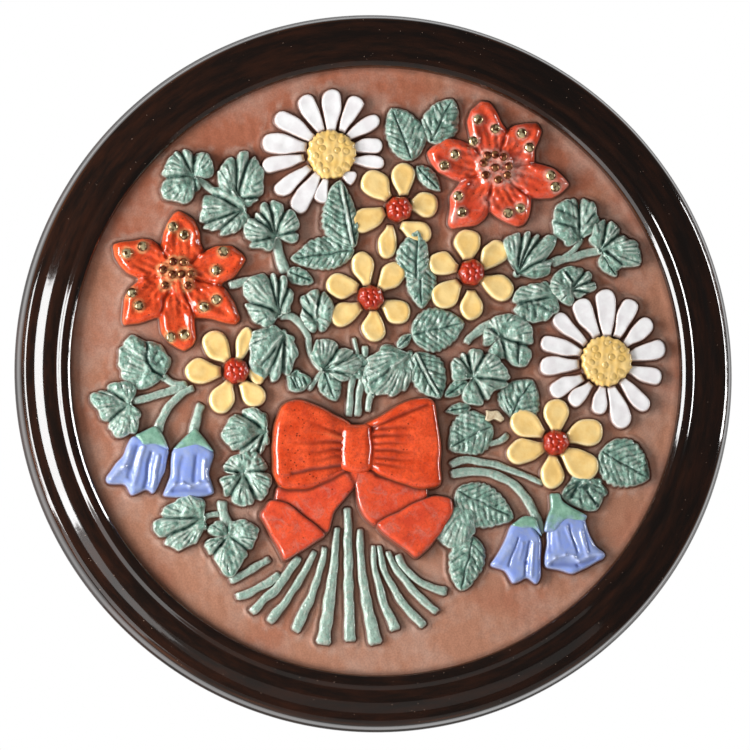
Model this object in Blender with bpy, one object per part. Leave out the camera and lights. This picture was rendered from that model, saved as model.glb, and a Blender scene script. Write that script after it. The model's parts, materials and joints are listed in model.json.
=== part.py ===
"""Round ceramic wall plaque with a modelled bunch of flowers, as one fired solid.

The back lies on the wall at Y = 0, the face looks along -Y and +Z is up. The origin is the centre
of the flat back. Tables are in millimetres, across (x) and up (z) from that centre; meshes are in
metres. Heights are measured from the wall towards the viewer.
"""

import math
from typing import NamedTuple

import bmesh
import bpy

MM = 0.001

# Turned body: radii and heights of the moulded rim, from the wall to the field.
OUTER_RADIUS = 205.0
BACK_EDGE_RADIUS = 202.0
BACK_EDGE_HEIGHT = 2.5
SIDE_TOP_RADIUS = 202.0
SIDE_TOP_HEIGHT = 13.5
SHOULDER = ((199.5, 16.0), (195.0, 18.4), (190.0, 20.6))
CREST = (185.5, 22.0)
GROOVE = (183.6, 20.4)
BEAD_CENTRE = (178.8, 19.0)
BEAD_RADIUS = 4.2
BEAD_STEPS = 4
FIELD_RADIUS = 173.7
FIELD_HEIGHT = 15.0
BODY_SEGMENTS = 68

# Relief: every modelled shape starts below the field and stands this far above it.
ROOT_DEPTH = 1.5
LEAF_RISE = 4.6
STEM_RISE = 3.4
DAISY_RISE = 4.8
YELLOW_RISE = 5.4
RED_RISE = 6.0
DISC_RISE = 7.2
BELL_RISE = 5.6
CALYX_RISE = 6.6
BOW_RISE = 7.2
LAYER_STEP = 0.13
PAD_LAYERS = 7
STEM_LAYERS = 5
EDGE_SHARE = 0.62
FLARE = 1.6
NOTCH_SHARE = 0.86
HEEL_RADIUS = 1.8
HEEL_GAP = 70.0
BLADE_SHAPE = ((0.07, 0.44), (0.26, 0.9), (0.56, 0.98), (0.84, 0.54))
DISC_SIDES = 16
EYE_SIDES = 10


class PetalShape(NamedTuple):
    """A kind of petal: width at its base, where it is widest, how it closes, where it has points."""

    base_share: float
    peak: float
    power: float
    stations: tuple


class Petal(NamedTuple):
    """A petal from its base to its tip, with its greatest width."""

    base: tuple
    tip: tuple
    width: float


class Fan(NamedTuple):
    """A leaf whose lobes spread evenly round its hub, from one angle to another (degrees)."""

    hub: tuple
    start: float
    stop: float
    reach: tuple


class Blade(NamedTuple):
    """A leaf along a midrib, with its greatest width to the left and right of the way to the tip."""

    base: tuple
    tip: tuple
    left: float
    right: float


class Stem(NamedTuple):
    """A rolled strip of clay through three points, with its width at both ends."""

    start: tuple
    middle: tuple
    end: tuple
    first: float
    last: float


class Form(NamedTuple):
    """A hand-cut slab: its middle and the corners of its outline."""

    middle: tuple
    corners: tuple


DAISY_SHAPE = PetalShape(0.36, 0.74, 2.4, (0.0, 0.5, 0.8, 0.93))
YELLOW_SHAPE = PetalShape(0.34, 0.58, 2.2, (0.0, 0.28, 0.58, 0.88))
RED_SHAPE = PetalShape(0.55, 0.48, 1.7, (0.0, 0.3, 0.55, 0.8))

DAISY_DISCS = (((-25.7, 123.3), 14.0), ((131.4, 6.6), 14.4))
DAISY_PETALS = (
    Petal((-25.7, 136.0), (-25.2, 160.7), 10.9), Petal((-19.6, 136.6), (-10.4, 156.5), 9.4),
    Petal((-16.5, 133.2), (1.4, 144.4), 8.6), Petal((-14.6, 127.6), (3.2, 129.0), 8.8),
    Petal((-14.2, 120.6), (4.8, 118.6), 7.6), Petal((-19.0, 112.4), (-12.0, 108.8), 7.6),
    Petal((-28.6, 109.5), (-32.4, 95.8), 8.0), Petal((-33.0, 112.6), (-46.6, 90.2), 10.6),
    Petal((-38.0, 116.0), (-57.0, 100.8), 9.2), Petal((-41.0, 121.6), (-64.8, 115.8), 8.8),
    Petal((-39.6, 127.4), (-64.8, 130.0), 11.8), Petal((-36.0, 132.2), (-57.2, 145.6), 10.8),
    Petal((-31.0, 136.0), (-42.0, 156.8), 10.2),
    Petal((132.2, 20.6), (131.0, 47.6), 11.0), Petal((137.2, 20.4), (146.6, 41.8), 10.0),
    Petal((141.6, 15.6), (157.4, 29.8), 9.4), Petal((143.6, 8.8), (165.2, 14.8), 10.8),
    Petal((143.4, 2.4), (162.8, -3.4), 9.4), Petal((140.0, -4.0), (155.0, -20.8), 9.4),
    Petal((134.6, -7.6), (141.8, -31.2), 11.2), Petal((129.6, -7.6), (126.4, -23.6), 8.6),
    Petal((122.8, -6.4), (111.2, -17.8), 8.8), Petal((118.0, -2.4), (99.8, -11.8), 9.8),
    Petal((116.2, 4.6), (93.8, 3.2), 10.6), Petal((117.4, 11.0), (94.2, 17.6), 10.0),
    Petal((119.8, 16.4), (101.8, 32.6), 8.8), Petal((126.0, 20.2), (115.2, 41.4), 10.8),
)

YELLOW_EYES = ((13.0, 92.4), (54.6, 56.6), (-3.0, 41.8), (-79.8, -0.8), (102.4, -40.4))
YELLOW_EYE_RADIUS = 7.6
YELLOW_PETALS = (
    Petal((7.4, 98.6), (-6.4, 112.6), 15.2), Petal((15.8, 100.4), (15.2, 118.8), 13.6),
    Petal((19.6, 95.2), (35.2, 95.2), 14.8), Petal((14.6, 83.2), (31.2, 77.0), 12.4),
    Petal((8.0, 83.6), (5.8, 64.4), 11.0), Petal((5.0, 91.2), (-13.8, 82.4), 13.6),
    Petal((52.6, 64.2), (52.2, 81.2), 15.6), Petal((60.6, 60.0), (73.2, 73.6), 14.2),
    Petal((60.4, 53.0), (78.0, 44.4), 14.6), Petal((54.6, 46.6), (54.6, 29.4), 13.0),
    Petal((47.6, 51.0), (34.0, 38.2), 15.2), Petal((46.8, 59.0), (30.6, 63.4), 13.8),
    Petal((-10.0, 46.6), (-28.4, 49.8), 14.2), Petal((-5.4, 49.0), (-9.0, 67.9), 12.8),
    Petal((3.0, 46.6), (14.4, 61.0), 13.6), Petal((4.0, 38.6), (18.8, 30.4), 13.8),
    Petal((-1.8, 34.2), (-0.6, 16.8), 13.6), Petal((-9.0, 37.2), (-25.4, 28.6), 13.4),
    Petal((-84.2, 4.6), (-96.6, 20.8), 14.6), Petal((-78.6, 5.6), (-72.4, 24.4), 8.8),
    Petal((-73.0, 0.2), (-64.4, -6.8), 7.0), Petal((-76.6, -7.4), (-64.8, -19.2), 13.2),
    Petal((-83.6, -6.4), (-90.6, -24.6), 13.6), Petal((-88.6, -1.0), (-108.8, -1.2), 14.6),
    Petal((102.6, -33.6), (103.4, -15.2), 14.4), Petal((108.6, -37.4), (129.6, -31.6), 15.4),
    Petal((107.0, -45.0), (125.4, -58.6), 16.8), Petal((101.0, -47.6), (100.6, -66.2), 13.8),
    Petal((96.0, -42.6), (74.6, -47.4), 14.4), Petal((95.6, -35.6), (77.0, -24.6), 14.8),
)

RED_HEARTS = (((-113.8, 54.4), 11.0), ((67.6, 116.4), 11.0))
RED_PETALS = (
    Petal((-113.6, 60.0), (-112.8, 91.0), 21.6), Petal((-119.0, 56.0), (-152.4, 69.8), 20.6),
    Petal((-118.0, 53.0), (-146.6, 24.0), 21.4), Petal((-115.4, 47.0), (-110.8, 10.8), 20.8),
    Petal((-109.0, 51.0), (-77.6, 26.8), 20.8), Petal((-108.6, 56.6), (-74.8, 64.4), 21.6),
    Petal((66.4, 122.0), (57.6, 155.6), 21.2), Petal((72.6, 121.0), (94.4, 142.6), 19.6),
    Petal((75.0, 114.0), (111.4, 107.4), 19.8), Petal((72.0, 112.0), (83.6, 83.0), 21.4),
    Petal((64.0, 110.4), (41.8, 82.2), 19.6), Petal((61.6, 118.4), (29.6, 119.4), 23.4),
)

FANS = (
    Fan((-104.6, 110.6), 20, 282, (12.4, 14.6, 13.4, 16.8, 17.0, 17.6, 21.0, 17.2, 11.4)),
    Fan((-79.6, 97.4), -17, 146, (9.4, 14.6, 17.8, 23.6, 28.4, 24.6, 19.4, 12.4)),
    Fan((-75.9, 91.1), 100, 297, (7.4, 15.2, 23.2, 23.6, 26.6, 20.4, 14.4, 9.2, 6.8)),
    Fan((-57.5, 76.5), 2, 231, (13.6, 15.6, 17.4, 21.0, 17.8, 19.0, 16.6, 10.4)),
    Fan((-55.5, 32.0), 30, 215, (7.4, 14.4, 22.0, 24.4, 23.0, 19.2, 15.8, 12.0)),
    Fan((-34.5, 28.5), -55, 260, (8.0, 8.0, 9.8, 14.4, 18.6, 15.6, 9.2, 7.4, 6.4, 7.4)),
    Fan((-52.5, 21.0), 160, 321, (9.2, 18.8, 22.6, 28.6, 29.8, 24.2, 15.6, 7.2)),
    Fan((-30.0, 0.0), -12, 122, (17.4, 22.4, 20.2, 17.0, 18.0, 18.0, 12.4)),
    Fan((-45.0, -1.5), 214, 318, (7.0, 11.0, 11.4, 9.6)),
    Fan((19.0, 9.5), 172, 280, (17.6, 25.4, 29.6, 31.4, 26.4, 21.4, 12.4)),
    Fan((55.0, -3.0), -95, 175, (16.6, 17.2, 15.2, 22.2, 19.2, 17.2, 15.6, 15.4, 14.4, 11.6)),
    Fan((44.8, -44.6), -12, 96, (18.0, 21.4, 24.4, 26.0, 25.6, 18.4)),
    Fan((103.0, 43.5), 140, 262, (11.4, 17.4, 23.6, 26.4, 25.4, 20.8, 15.6, 10.2)),
    Fan((112.0, 47.0), -31, 254, (6.8, 14.2, 14.8, 13.4, 13.8, 13.4, 9.8, 9.2)),
    Fan((70.5, 20.0), -120, 204, (11.4, 12.8, 22.8, 19.4, 19.4, 14.8, 12.2, 10.8, 9.4, 10.4)),
    Fan((82.0, -19.0), -9, 221, (9.8, 13.4, 15.8, 14.4, 13.8, 14.4, 13.6, 9.4)),
    Fan((127.0, -62.0), 176, 292, (15.4, 22.0, 19.4, 17.0, 9.4)),
    Fan((80.5, 56.0), 8, 112, (18.8, 22.8, 30.6, 26.6, 24.8, 22.6)),
    Fan((116.5, 76.0), 52, 188, (16.4, 23.8, 23.8, 24.4, 19.2, 15.8, 9.4)),
    Fan((128.0, 70.0), -40, 122, (15.8, 25.0, 22.6, 17.2, 17.4, 18.8, 15.8, 9.4)),
    Fan((-98.5, -84.8), 105, 272, (12.2, 15.8, 18.4, 23.2, 29.6, 26.8, 23.8, 15.4, 7.4)),
    Fan((-75.5, -58.5), -157, 173, (14.2, 17.6, 19.4, 19.2, 17.2, 14.2, 13.6, 13.2, 10.8, 11.6, 12.8)),
    Fan((-63.5, -35.0), 95, 277, (10.4, 15.4, 18.4, 21.8, 24.8, 22.2, 18.4, 14.4, 8.6)),
    Fan((-84.2, -94.3), -152, 168, (14.8, 16.6, 24.4, 16.4, 15.6, 17.8, 13.8, 7.8, 7.8, 11.2, 12.8)),
    Fan((-121.0, -4.5), 80, 196, (12.6, 18.8, 22.8, 30.2, 30.2, 27.2, 24.2, 18.0)),
    Fan((-141.0, -20.4), 85, 308, (12.4, 14.4, 16.4, 22.4, 18.4, 17.4, 19.8, 16.8, 10.2)),
    Fan((50.5, -76.0), 212, 306, (10.4, 24.4, 26.2, 25.2, 18.2, 11.4)),
)

BLADES = (
    Blade((20.6, 120.4), (8.8, 150.6), 9.2, 13.8), Blade((31.0, 130.6), (43.8, 156.0), 10.4, 10.6),
    Blade((23.0, 117.0), (37.0, 103.0), 5.0, 4.4), Blade((-13.2, 70.4), (-20.8, 108.6), 14.6, 5.8),
    Blade((-12.4, 68.8), (-48.4, 63.4), 8.8, 10.4), Blade((22.4, 51.0), (23.4, 80.6), 11.4, 7.8),
    Blade((24.0, 62.0), (26.2, 36.2), 9.6, 7.4), Blade((20.4, 20.6), (50.4, 27.8), 12.6, 12.2),
    Blade((-30.0, -1.0), (-22.6, -17.4), 7.0, 6.0), Blade((22.4, 10.0), (36.4, -15.8), 11.2, 9.4),
    Blade((52.0, -6.0), (39.0, -14.4), 4.0, 4.4), Blade((129.0, 68.0), (137.4, 55.2), 5.6, 5.2),
    Blade((-50.6, 56.6), (-35.6, 50.4), 4.8, 5.2), Blade((128.0, -44.6), (156.2, -60.4), 14.2, 13.6),
    Blade((45.8, -68.0), (78.6, -83.4), 10.6, 14.0), Blade((55.6, -94.0), (48.2, -125.0), 9.8, 10.6),
    Blade((12.0, 13.6), (20.6, 21.4), 3.0, 3.0), Blade((54.0, -20.6), (39.4, -22.8), 3.0, 3.6),
)

STEMS = (
    Stem((-60.7, -107.4), (-72.0, -114.4), (-83.3, -120.4), 4.0, 4.4),
    Stem((-54.6, -116.5), (-66.0, -123.8), (-79.2, -129.8), 4.2, 4.6),
    Stem((-44.3, -106.5), (-54.8, -121.6), (-71.0, -138.0), 4.6, 5.0),
    Stem((-34.8, -103.0), (-46.6, -124.6), (-60.6, -143.4), 3.6, 5.0),
    Stem((-29.0, -100.4), (-34.8, -123.0), (-46.2, -148.4), 3.4, 6.4),
    Stem((-22.2, -89.6), (-24.6, -116.0), (-30.0, -156.0), 3.4, 8.4),
    Stem((-16.0, -78.3), (-15.6, -116.0), (-14.6, -154.4), 4.6, 6.8),
    Stem((-8.7, -90.4), (-7.2, -119.6), (0.2, -156.0), 3.8, 7.6),
    Stem((-1.7, -99.6), (1.4, -121.6), (11.2, -147.8), 2.8, 6.0),
    Stem((1.7, -99.6), (9.4, -123.0), (27.4, -145.2), 3.6, 5.2),
    Stem((7.0, -102.6), (16.8, -119.8), (35.0, -137.6), 3.6, 4.2),
    Stem((12.6, -104.3), (22.0, -118.0), (40.4, -125.4), 3.8, 4.6),
    Stem((-12.4, 19.0), (-11.4, 13.6), (-10.4, 8.0), 2.4, 2.6),
    Stem((-6.4, 14.6), (-6.2, 11.0), (-6.0, 7.0), 3.6, 3.4),
    Stem((-13.8, -8.0), (-14.8, -17.0), (-15.6, -26.2), 3.6, 4.4),
    Stem((-9.0, -10.0), (-9.8, -18.0), (-10.4, -26.0), 3.6, 4.6),
    Stem((-2.6, -12.0), (-3.6, -17.6), (-4.6, -23.4), 3.6, 3.6),
    Stem((42.6, -53.4), (62.0, -51.4), (95.4, -63.4), 4.6, 3.0),
    Stem((42.6, -58.6), (76.0, -62.4), (94.4, -92.0), 4.8, 5.4),
    Stem((-104.0, -10.2), (-117.4, -20.4), (-124.4, -36.0), 4.0, 5.4),
    Stem((-99.0, -19.4), (-102.2, -27.0), (-104.0, -38.0), 4.4, 6.4),
    Stem((-108.0, -8.0), (-121.0, -13.6), (-138.6, -18.2), 5.0, 4.0),
    Stem((-108.6, -7.6), (-115.0, -8.0), (-121.4, -3.4), 3.6, 4.0),
    Stem((-83.6, 48.4), (-78.6, 50.0), (-72.0, 51.2), 4.8, 3.6),
    Stem((-57.4, 76.0), (-55.0, 66.0), (-51.6, 55.6), 5.4, 6.4),
    Stem((-55.0, 31.0), (-45.6, 29.0), (-38.4, 18.0), 5.4, 3.6),
    Stem((-38.4, 20.0), (-37.0, 9.0), (-31.0, 0.6), 3.6, 3.6),
    Stem((-30.6, -1.0), (-34.4, -5.0), (-38.4, -11.4), 3.2, 3.0),
    Stem((51.4, 15.8), (57.0, 22.0), (67.6, 28.4), 4.4, 5.4),
    Stem((75.4, -35.6), (70.4, -39.6), (64.0, -41.4), 3.4, 3.6),
    Stem((100.6, 62.6), (114.0, 66.4), (129.0, 70.4), 5.0, 4.0),
    Stem((106.0, 64.0), (112.4, 69.6), (117.0, 76.4), 3.4, 3.4),
    Stem((-98.4, -84.4), (-94.0, -82.6), (-88.4, -82.4), 3.0, 3.0),
    Stem((-87.6, -74.6), (-86.6, -82.0), (-83.6, -92.0), 5.4, 6.2),
    Stem((-104.6, 110.0), (-97.0, 105.4), (-88.0, 99.0), 4.4, 4.4),
)

BELLS = (
    Form((-132.0, -54.0), ((-139.6, -38.4), (-144.0, -49.0), (-154.0, -61.6), (-153.2, -65.6),
                           (-143.0, -65.8), (-139.2, -73.2), (-131.2, -68.2), (-126.4, -71.8),
                           (-120.4, -58.0), (-118.0, -46.4), (-128.0, -38.0))),
    Form((-106.0, -60.0), ((-116.6, -46.0), (-117.6, -60.0), (-121.6, -72.6), (-107.0, -73.6),
                           (-92.0, -71.0), (-95.0, -60.0), (-92.4, -47.0), (-104.6, -38.0))),
    Form((84.0, -100.0), ((77.0, -86.6), (71.6, -100.4), (64.6, -110.8), (73.6, -113.6),
                          (78.2, -121.8), (85.4, -116.6), (91.4, -121.8), (94.0, -118.0),
                          (94.2, -94.6), (86.4, -84.0))),
    Form((110.0, -98.0), ((96.4, -85.0), (97.4, -98.6), (96.4, -111.4), (103.6, -113.0),
                          (112.4, -115.0), (121.4, -109.4), (129.4, -106.0), (122.6, -96.0),
                          (119.6, -83.6), (106.0, -80.0))),
)

CALYXES = (
    Form((-126.0, -40.0), ((-138.0, -37.6), (-133.8, -44.8), (-125.8, -43.4), (-118.0, -47.4),
                           (-121.6, -37.6), (-125.4, -32.6))),
    Form((-104.0, -42.0), ((-116.8, -46.6), (-107.0, -44.8), (-102.4, -44.2), (-92.2, -47.8),
                           (-96.8, -40.0), (-103.0, -33.0))),
    Form((86.0, -86.0), ((76.4, -87.4), (84.2, -91.0), (90.2, -89.6), (95.4, -94.4),
                         (91.0, -82.6), (85.0, -82.0))),
    Form((105.0, -79.6), ((99.6, -69.0), (96.0, -80.4), (96.2, -85.6), (105.2, -88.6),
                          (109.6, -82.0), (119.2, -84.8), (117.6, -79.6), (104.4, -69.0))),
)

BOW = (
    Form((-34.0, -84.0), ((-53.0, -69.4), (-18.0, -57.0), (-13.8, -66.4), (-26.8, -91.0),
                          (-32.6, -93.0), (-56.0, -75.0))),
    Form((-50.0, -90.0), ((-60.6, -74.2), (-67.0, -82.6), (-60.0, -99.0), (-55.4, -109.4),
                          (-48.8, -106.0), (-29.0, -93.2), (-52.0, -76.0))),
    Form((3.0, -72.0), ((-12.0, -59.4), (-8.2, -77.0), (-3.0, -86.0), (24.6, -73.4),
                        (27.4, -69.6), (2.0, -60.0))),
    Form((24.0, -86.0), ((0.6, -86.0), (29.0, -70.4), (41.6, -70.2), (44.6, -75.0),
                         (34.6, -96.0), (22.6, -107.6), (16.0, -103.8), (1.6, -91.0))),
    Form((-38.0, -44.0), ((-11.6, -31.4), (-25.4, -24.2), (-42.6, -16.0), (-53.6, -18.4),
                          (-59.4, -34.0), (-59.4, -62.0), (-53.0, -69.2), (-38.0, -68.6),
                          (-21.6, -60.4), (-11.6, -56.0))),
    Form((16.0, -42.0), ((-9.6, -32.0), (4.4, -24.0), (16.6, -17.0), (27.0, -14.4),
                         (33.6, -16.6), (37.0, -42.0), (36.8, -66.6), (25.0, -68.0),
                         (4.4, -61.4), (-9.6, -54.0))),
)
KNOT = Form((-11.6, -43.6), ((-18.8, -33.0), (-19.4, -44.0), (-17.6, -55.6), (-5.0, -55.8),
                             (-3.4, -44.0), (-5.4, -31.6)))
KNOT_RISE = 9.0


def past_peak(t, peak):
    """How far t is past the peak, from 0 there to 1 at the far end."""
    return max(0.0, (t - peak) / (1.0 - peak))


def petal_outline(petal, shape):
    """Outline of a petal of this shape, with a point on each side at every station."""
    (bx, bz), (tx, tz) = petal.base, petal.tip
    dx, dz = tx - bx, tz - bz
    length = math.hypot(dx, dz)
    half = petal.width / 2

    def spread(t):
        growth = math.sin(math.pi / 2 * min(t / shape.peak, 1.0)) ** 1.3
        closing = max(0.0, 1.0 - past_peak(t, shape.peak) ** shape.power)
        return half * (shape.base_share + (1.0 - shape.base_share) * growth) * math.sqrt(closing)

    def place(t, side):
        offset = side * spread(t) / length
        return (bx + dx * t - dz * offset, bz + dz * t + dx * offset)

    right = [place(t, -1) for t in shape.stations]
    left = [place(t, 1) for t in reversed(shape.stations)]
    return right + [petal.tip] + left


def fan_outline(fan):
    """Outline of a lobed leaf: a tip for each lobe, a notch after it, then the heel."""
    count = len(fan.reach)
    step = math.radians(fan.stop - fan.start) / (count - 1)
    first = math.radians(fan.start)
    points = []
    for lobe, reach in enumerate(fan.reach):
        angle = first + step * lobe
        points.append((reach, angle))
        if lobe + 1 < count:
            notch = NOTCH_SHARE * (reach + fan.reach[lobe + 1]) / 2
            points.append((notch, angle + 0.5 * step))
    open_angle = 2 * math.pi - step * (count - 1)
    if open_angle > math.radians(HEEL_GAP):
        points.append((HEEL_RADIUS, first + step * (count - 1) + open_angle / 2))
    x, z = fan.hub
    return [(x + r * math.cos(a), z + r * math.sin(a)) for r, a in points]


def blade_outline(blade):
    """Outline of a leaf with a midrib, as two sides of uneven width."""
    (bx, bz), (tx, tz) = blade.base, blade.tip
    dx, dz = tx - bx, tz - bz
    length = math.hypot(dx, dz)

    def place(t, offset):
        return (bx + dx * t - dz * offset / length, bz + dz * t + dx * offset / length)

    right = [place(t, -share * blade.right) for t, share in BLADE_SHAPE]
    left = [place(t, share * blade.left) for t, share in reversed(BLADE_SHAPE)]
    return [blade.base] + right + [blade.tip] + left


def stem_route(stem, steps):
    """Middle line of a stem: a smooth curve through its three points, with its width."""
    control = [2 * m - (a + b) / 2 for a, m, b in zip(stem.start, stem.middle, stem.end)]
    route = []
    for index in range(steps + 1):
        t = index / steps
        weights = ((1 - t) ** 2, 2 * t * (1 - t), t * t)
        x, z = (sum(w * p[axis] for w, p in zip(weights, (stem.start, control, stem.end)))
                for axis in (0, 1))
        route.append((x, z, stem.first + (stem.last - stem.first) * t ** FLARE))
    return route


def stem_outline(stem, steps=3):
    """Outline of a stem, as one side out and the other side back."""
    route = stem_route(stem, steps)
    right, left = [], []
    for index, (x, z, width) in enumerate(route):
        x0, z0, _ = route[max(index - 1, 0)]
        x1, z1, _ = route[min(index + 1, steps)]
        length = math.hypot(x1 - x0, z1 - z0)
        sx, sz = (z1 - z0) / length * width / 2, -(x1 - x0) / length * width / 2
        right.append((x + sx, z + sz))
        left.append((x - sx, z - sz))
    return right + left[::-1]


def disc_outline(centre, radius, sides):
    """Outline of a round pad."""
    angles = [2 * math.pi * side / sides for side in range(sides)]
    return [(centre[0] + radius * math.cos(a), centre[1] + radius * math.sin(a)) for a in angles]


def middle_of(outline):
    """Mean of the outline's points."""
    return (sum(p[0] for p in outline) / len(outline), sum(p[1] for p in outline) / len(outline))


def signed_area(outline):
    """Twice the area of the outline, positive when it runs counterclockwise."""
    pairs = zip(outline, outline[1:] + outline[:1])
    return sum(a[0] * b[1] - b[0] * a[1] for a, b in pairs)


def add_vertex(mesh, point, height):
    """Add a vertex at a place on the plaque and a height from the wall."""
    return mesh.verts.new((point[0] * MM, -height * MM, point[1] * MM))


def add_raised(mesh, outline, middle, rise):
    """Add a closed pad: upright to its edge height, then sloping up to its middle."""
    if signed_area(outline) < 0:
        outline = outline[::-1]
    foot = [add_vertex(mesh, p, FIELD_HEIGHT - ROOT_DEPTH) for p in outline]
    rim = [add_vertex(mesh, p, FIELD_HEIGHT + rise * EDGE_SHARE) for p in outline]
    top = add_vertex(mesh, middle, FIELD_HEIGHT + rise)
    for index, vertex in enumerate(rim):
        after = (index + 1) % len(rim)
        mesh.faces.new((foot[index], foot[after], rim[after], vertex))
        mesh.faces.new((vertex, rim[after], top))
    mesh.faces.new(foot[::-1])


def add_strip(mesh, stem, rise):
    """Add a closed stem with a roof-shaped back."""
    outline = stem_outline(stem)
    side = len(outline) // 2
    foot = [add_vertex(mesh, p, FIELD_HEIGHT - ROOT_DEPTH) for p in outline]
    rim = [add_vertex(mesh, p, FIELD_HEIGHT + rise * EDGE_SHARE) for p in outline]
    ridge = [add_vertex(mesh, (x, z), FIELD_HEIGHT + rise) for x, z, _ in stem_route(stem, side - 1)]
    count = len(outline)
    for index in range(count):
        after = (index + 1) % count
        mesh.faces.new((foot[index], foot[after], rim[after], rim[index]))
    for index in range(side - 1):
        mirror = count - 1 - index
        mesh.faces.new((rim[index], rim[index + 1], ridge[index + 1], ridge[index]))
        mesh.faces.new((rim[mirror - 1], rim[mirror], ridge[index], ridge[index + 1]))
    mesh.faces.new((rim[count - 1], rim[0], ridge[0]))
    mesh.faces.new((rim[side - 1], rim[side], ridge[side - 1]))
    mesh.faces.new(foot[::-1])


def relief_shapes():
    """Each raised pad of the bunch: outline, middle and height above the field."""
    shapes = []
    for fan in FANS:
        shapes.append((fan_outline(fan), fan.hub, LEAF_RISE))
    for blade in BLADES:
        outline = blade_outline(blade)
        shapes.append((outline, middle_of(outline), LEAF_RISE))
    kinds = ((DAISY_PETALS, DAISY_SHAPE, DAISY_RISE), (YELLOW_PETALS, YELLOW_SHAPE, YELLOW_RISE),
             (RED_PETALS, RED_SHAPE, RED_RISE))
    for petals, shape, rise in kinds:
        for petal in petals:
            outline = petal_outline(petal, shape)
            shapes.append((outline, middle_of(outline), rise))
    for centre, radius in DAISY_DISCS:
        shapes.append((disc_outline(centre, radius, DISC_SIDES), centre, DISC_RISE))
    for centre in YELLOW_EYES:
        shapes.append((disc_outline(centre, YELLOW_EYE_RADIUS, EYE_SIDES), centre, DISC_RISE))
    for centre, radius in RED_HEARTS:
        shapes.append((disc_outline(centre, radius, EYE_SIDES), centre, DISC_RISE))
    for form, rise in [(b, BELL_RISE) for b in BELLS] + [(c, CALYX_RISE) for c in CALYXES]:
        shapes.append((list(form.corners), form.middle, rise))
    for form, rise in [(slab, BOW_RISE) for slab in BOW] + [(KNOT, KNOT_RISE)]:
        shapes.append((list(form.corners), form.middle, rise))
    return shapes


def body_profile():
    """Half section of the turned body as (radius, height), from the back's edge to the field."""
    points = [(BACK_EDGE_RADIUS, 0.0), (OUTER_RADIUS, BACK_EDGE_HEIGHT),
              (SIDE_TOP_RADIUS, SIDE_TOP_HEIGHT)]
    points.extend(SHOULDER)
    points.extend((CREST, GROOVE))
    for step in range(BEAD_STEPS + 1):
        angle = math.pi * step / BEAD_STEPS
        points.append((BEAD_CENTRE[0] + BEAD_RADIUS * math.cos(angle),
                       BEAD_CENTRE[1] + BEAD_RADIUS * math.sin(angle)))
    points.append((FIELD_RADIUS, FIELD_HEIGHT))
    return points


def make_object(name, mesh):
    """Turn a finished bmesh into an object in the scene."""
    bmesh.ops.recalc_face_normals(mesh, faces=mesh.faces)
    data = bpy.data.meshes.new(name)
    mesh.to_mesh(data)
    mesh.free()
    item = bpy.data.objects.new(name, data)
    bpy.context.scene.collection.objects.link(item)
    return item


def make_body():
    """Turned body: rings of the profile joined by quads, closed by the back and the field."""
    mesh = bmesh.new()
    rings = []
    for radius, height in body_profile():
        rings.append([add_vertex(mesh, p, height)
                      for p in disc_outline((0.0, 0.0), radius, BODY_SEGMENTS)])
    for lower, upper in zip(rings, rings[1:]):
        for index in range(BODY_SEGMENTS):
            after = (index + 1) % BODY_SEGMENTS
            mesh.faces.new((lower[index], lower[after], upper[after], upper[index]))
    mesh.faces.new(rings[0][::-1])
    mesh.faces.new(rings[-1])
    return make_object("plaque", mesh)


def make_relief():
    """All raised pads and stems as overlapping closed shells, each layer a little higher."""
    mesh = bmesh.new()
    for layer, (outline, middle, rise) in enumerate(relief_shapes()):
        add_raised(mesh, outline, middle, rise + LAYER_STEP * (layer % PAD_LAYERS))
    for layer, stem in enumerate(STEMS):
        add_strip(mesh, stem, STEM_RISE + LAYER_STEP * (layer % STEM_LAYERS))
    item = make_object("relief_stock", mesh)
    item.hide_render = True
    item.display_type = "WIRE"
    return item


def fired_clay():
    """Terracotta body clay with a dull surface."""
    material = bpy.data.materials.new("fired_clay")
    material.use_nodes = True
    shader = material.node_tree.nodes["Principled BSDF"]
    shader.inputs["Base Color"].default_value = (0.38, 0.17, 0.10, 1.0)
    shader.inputs["Roughness"].default_value = 0.7
    shader.inputs["Metallic"].default_value = 0.0
    return material


def build():
    """Clear the scene and make the plaque with its relief joined on."""
    for item in list(bpy.data.objects):
        bpy.data.objects.remove(item, do_unlink=True)
    plaque = make_body()
    relief = make_relief()
    plaque.data.materials.append(fired_clay())
    union = plaque.modifiers.new("relief", "BOOLEAN")
    union.operation = "UNION"
    union.object = relief
    union.use_self = True
    return plaque


build()
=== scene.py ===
"""Round ceramic wall plaque with a modelled bunch of flowers: the finished surfaces.

The back lies on the wall at Y = 0, the face looks along -Y and +Z is up. Tables are in millimetres,
across (x) and up (z) from the centre of the plaque, and heights are measured from the wall towards
the viewer. Meshes are in metres. Every leaf, petal and ribbon is a slab of clay of its own, pressed
on to the thrown field, so each is modelled as a closed shell whose foot sinks into the field.
"""

import json
import logging
import math
from dataclasses import dataclass
from enum import Enum
from typing import Any, Optional, Sequence

import bpy
import numpy as np
from mathutils import Matrix, Vector, kdtree

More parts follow.
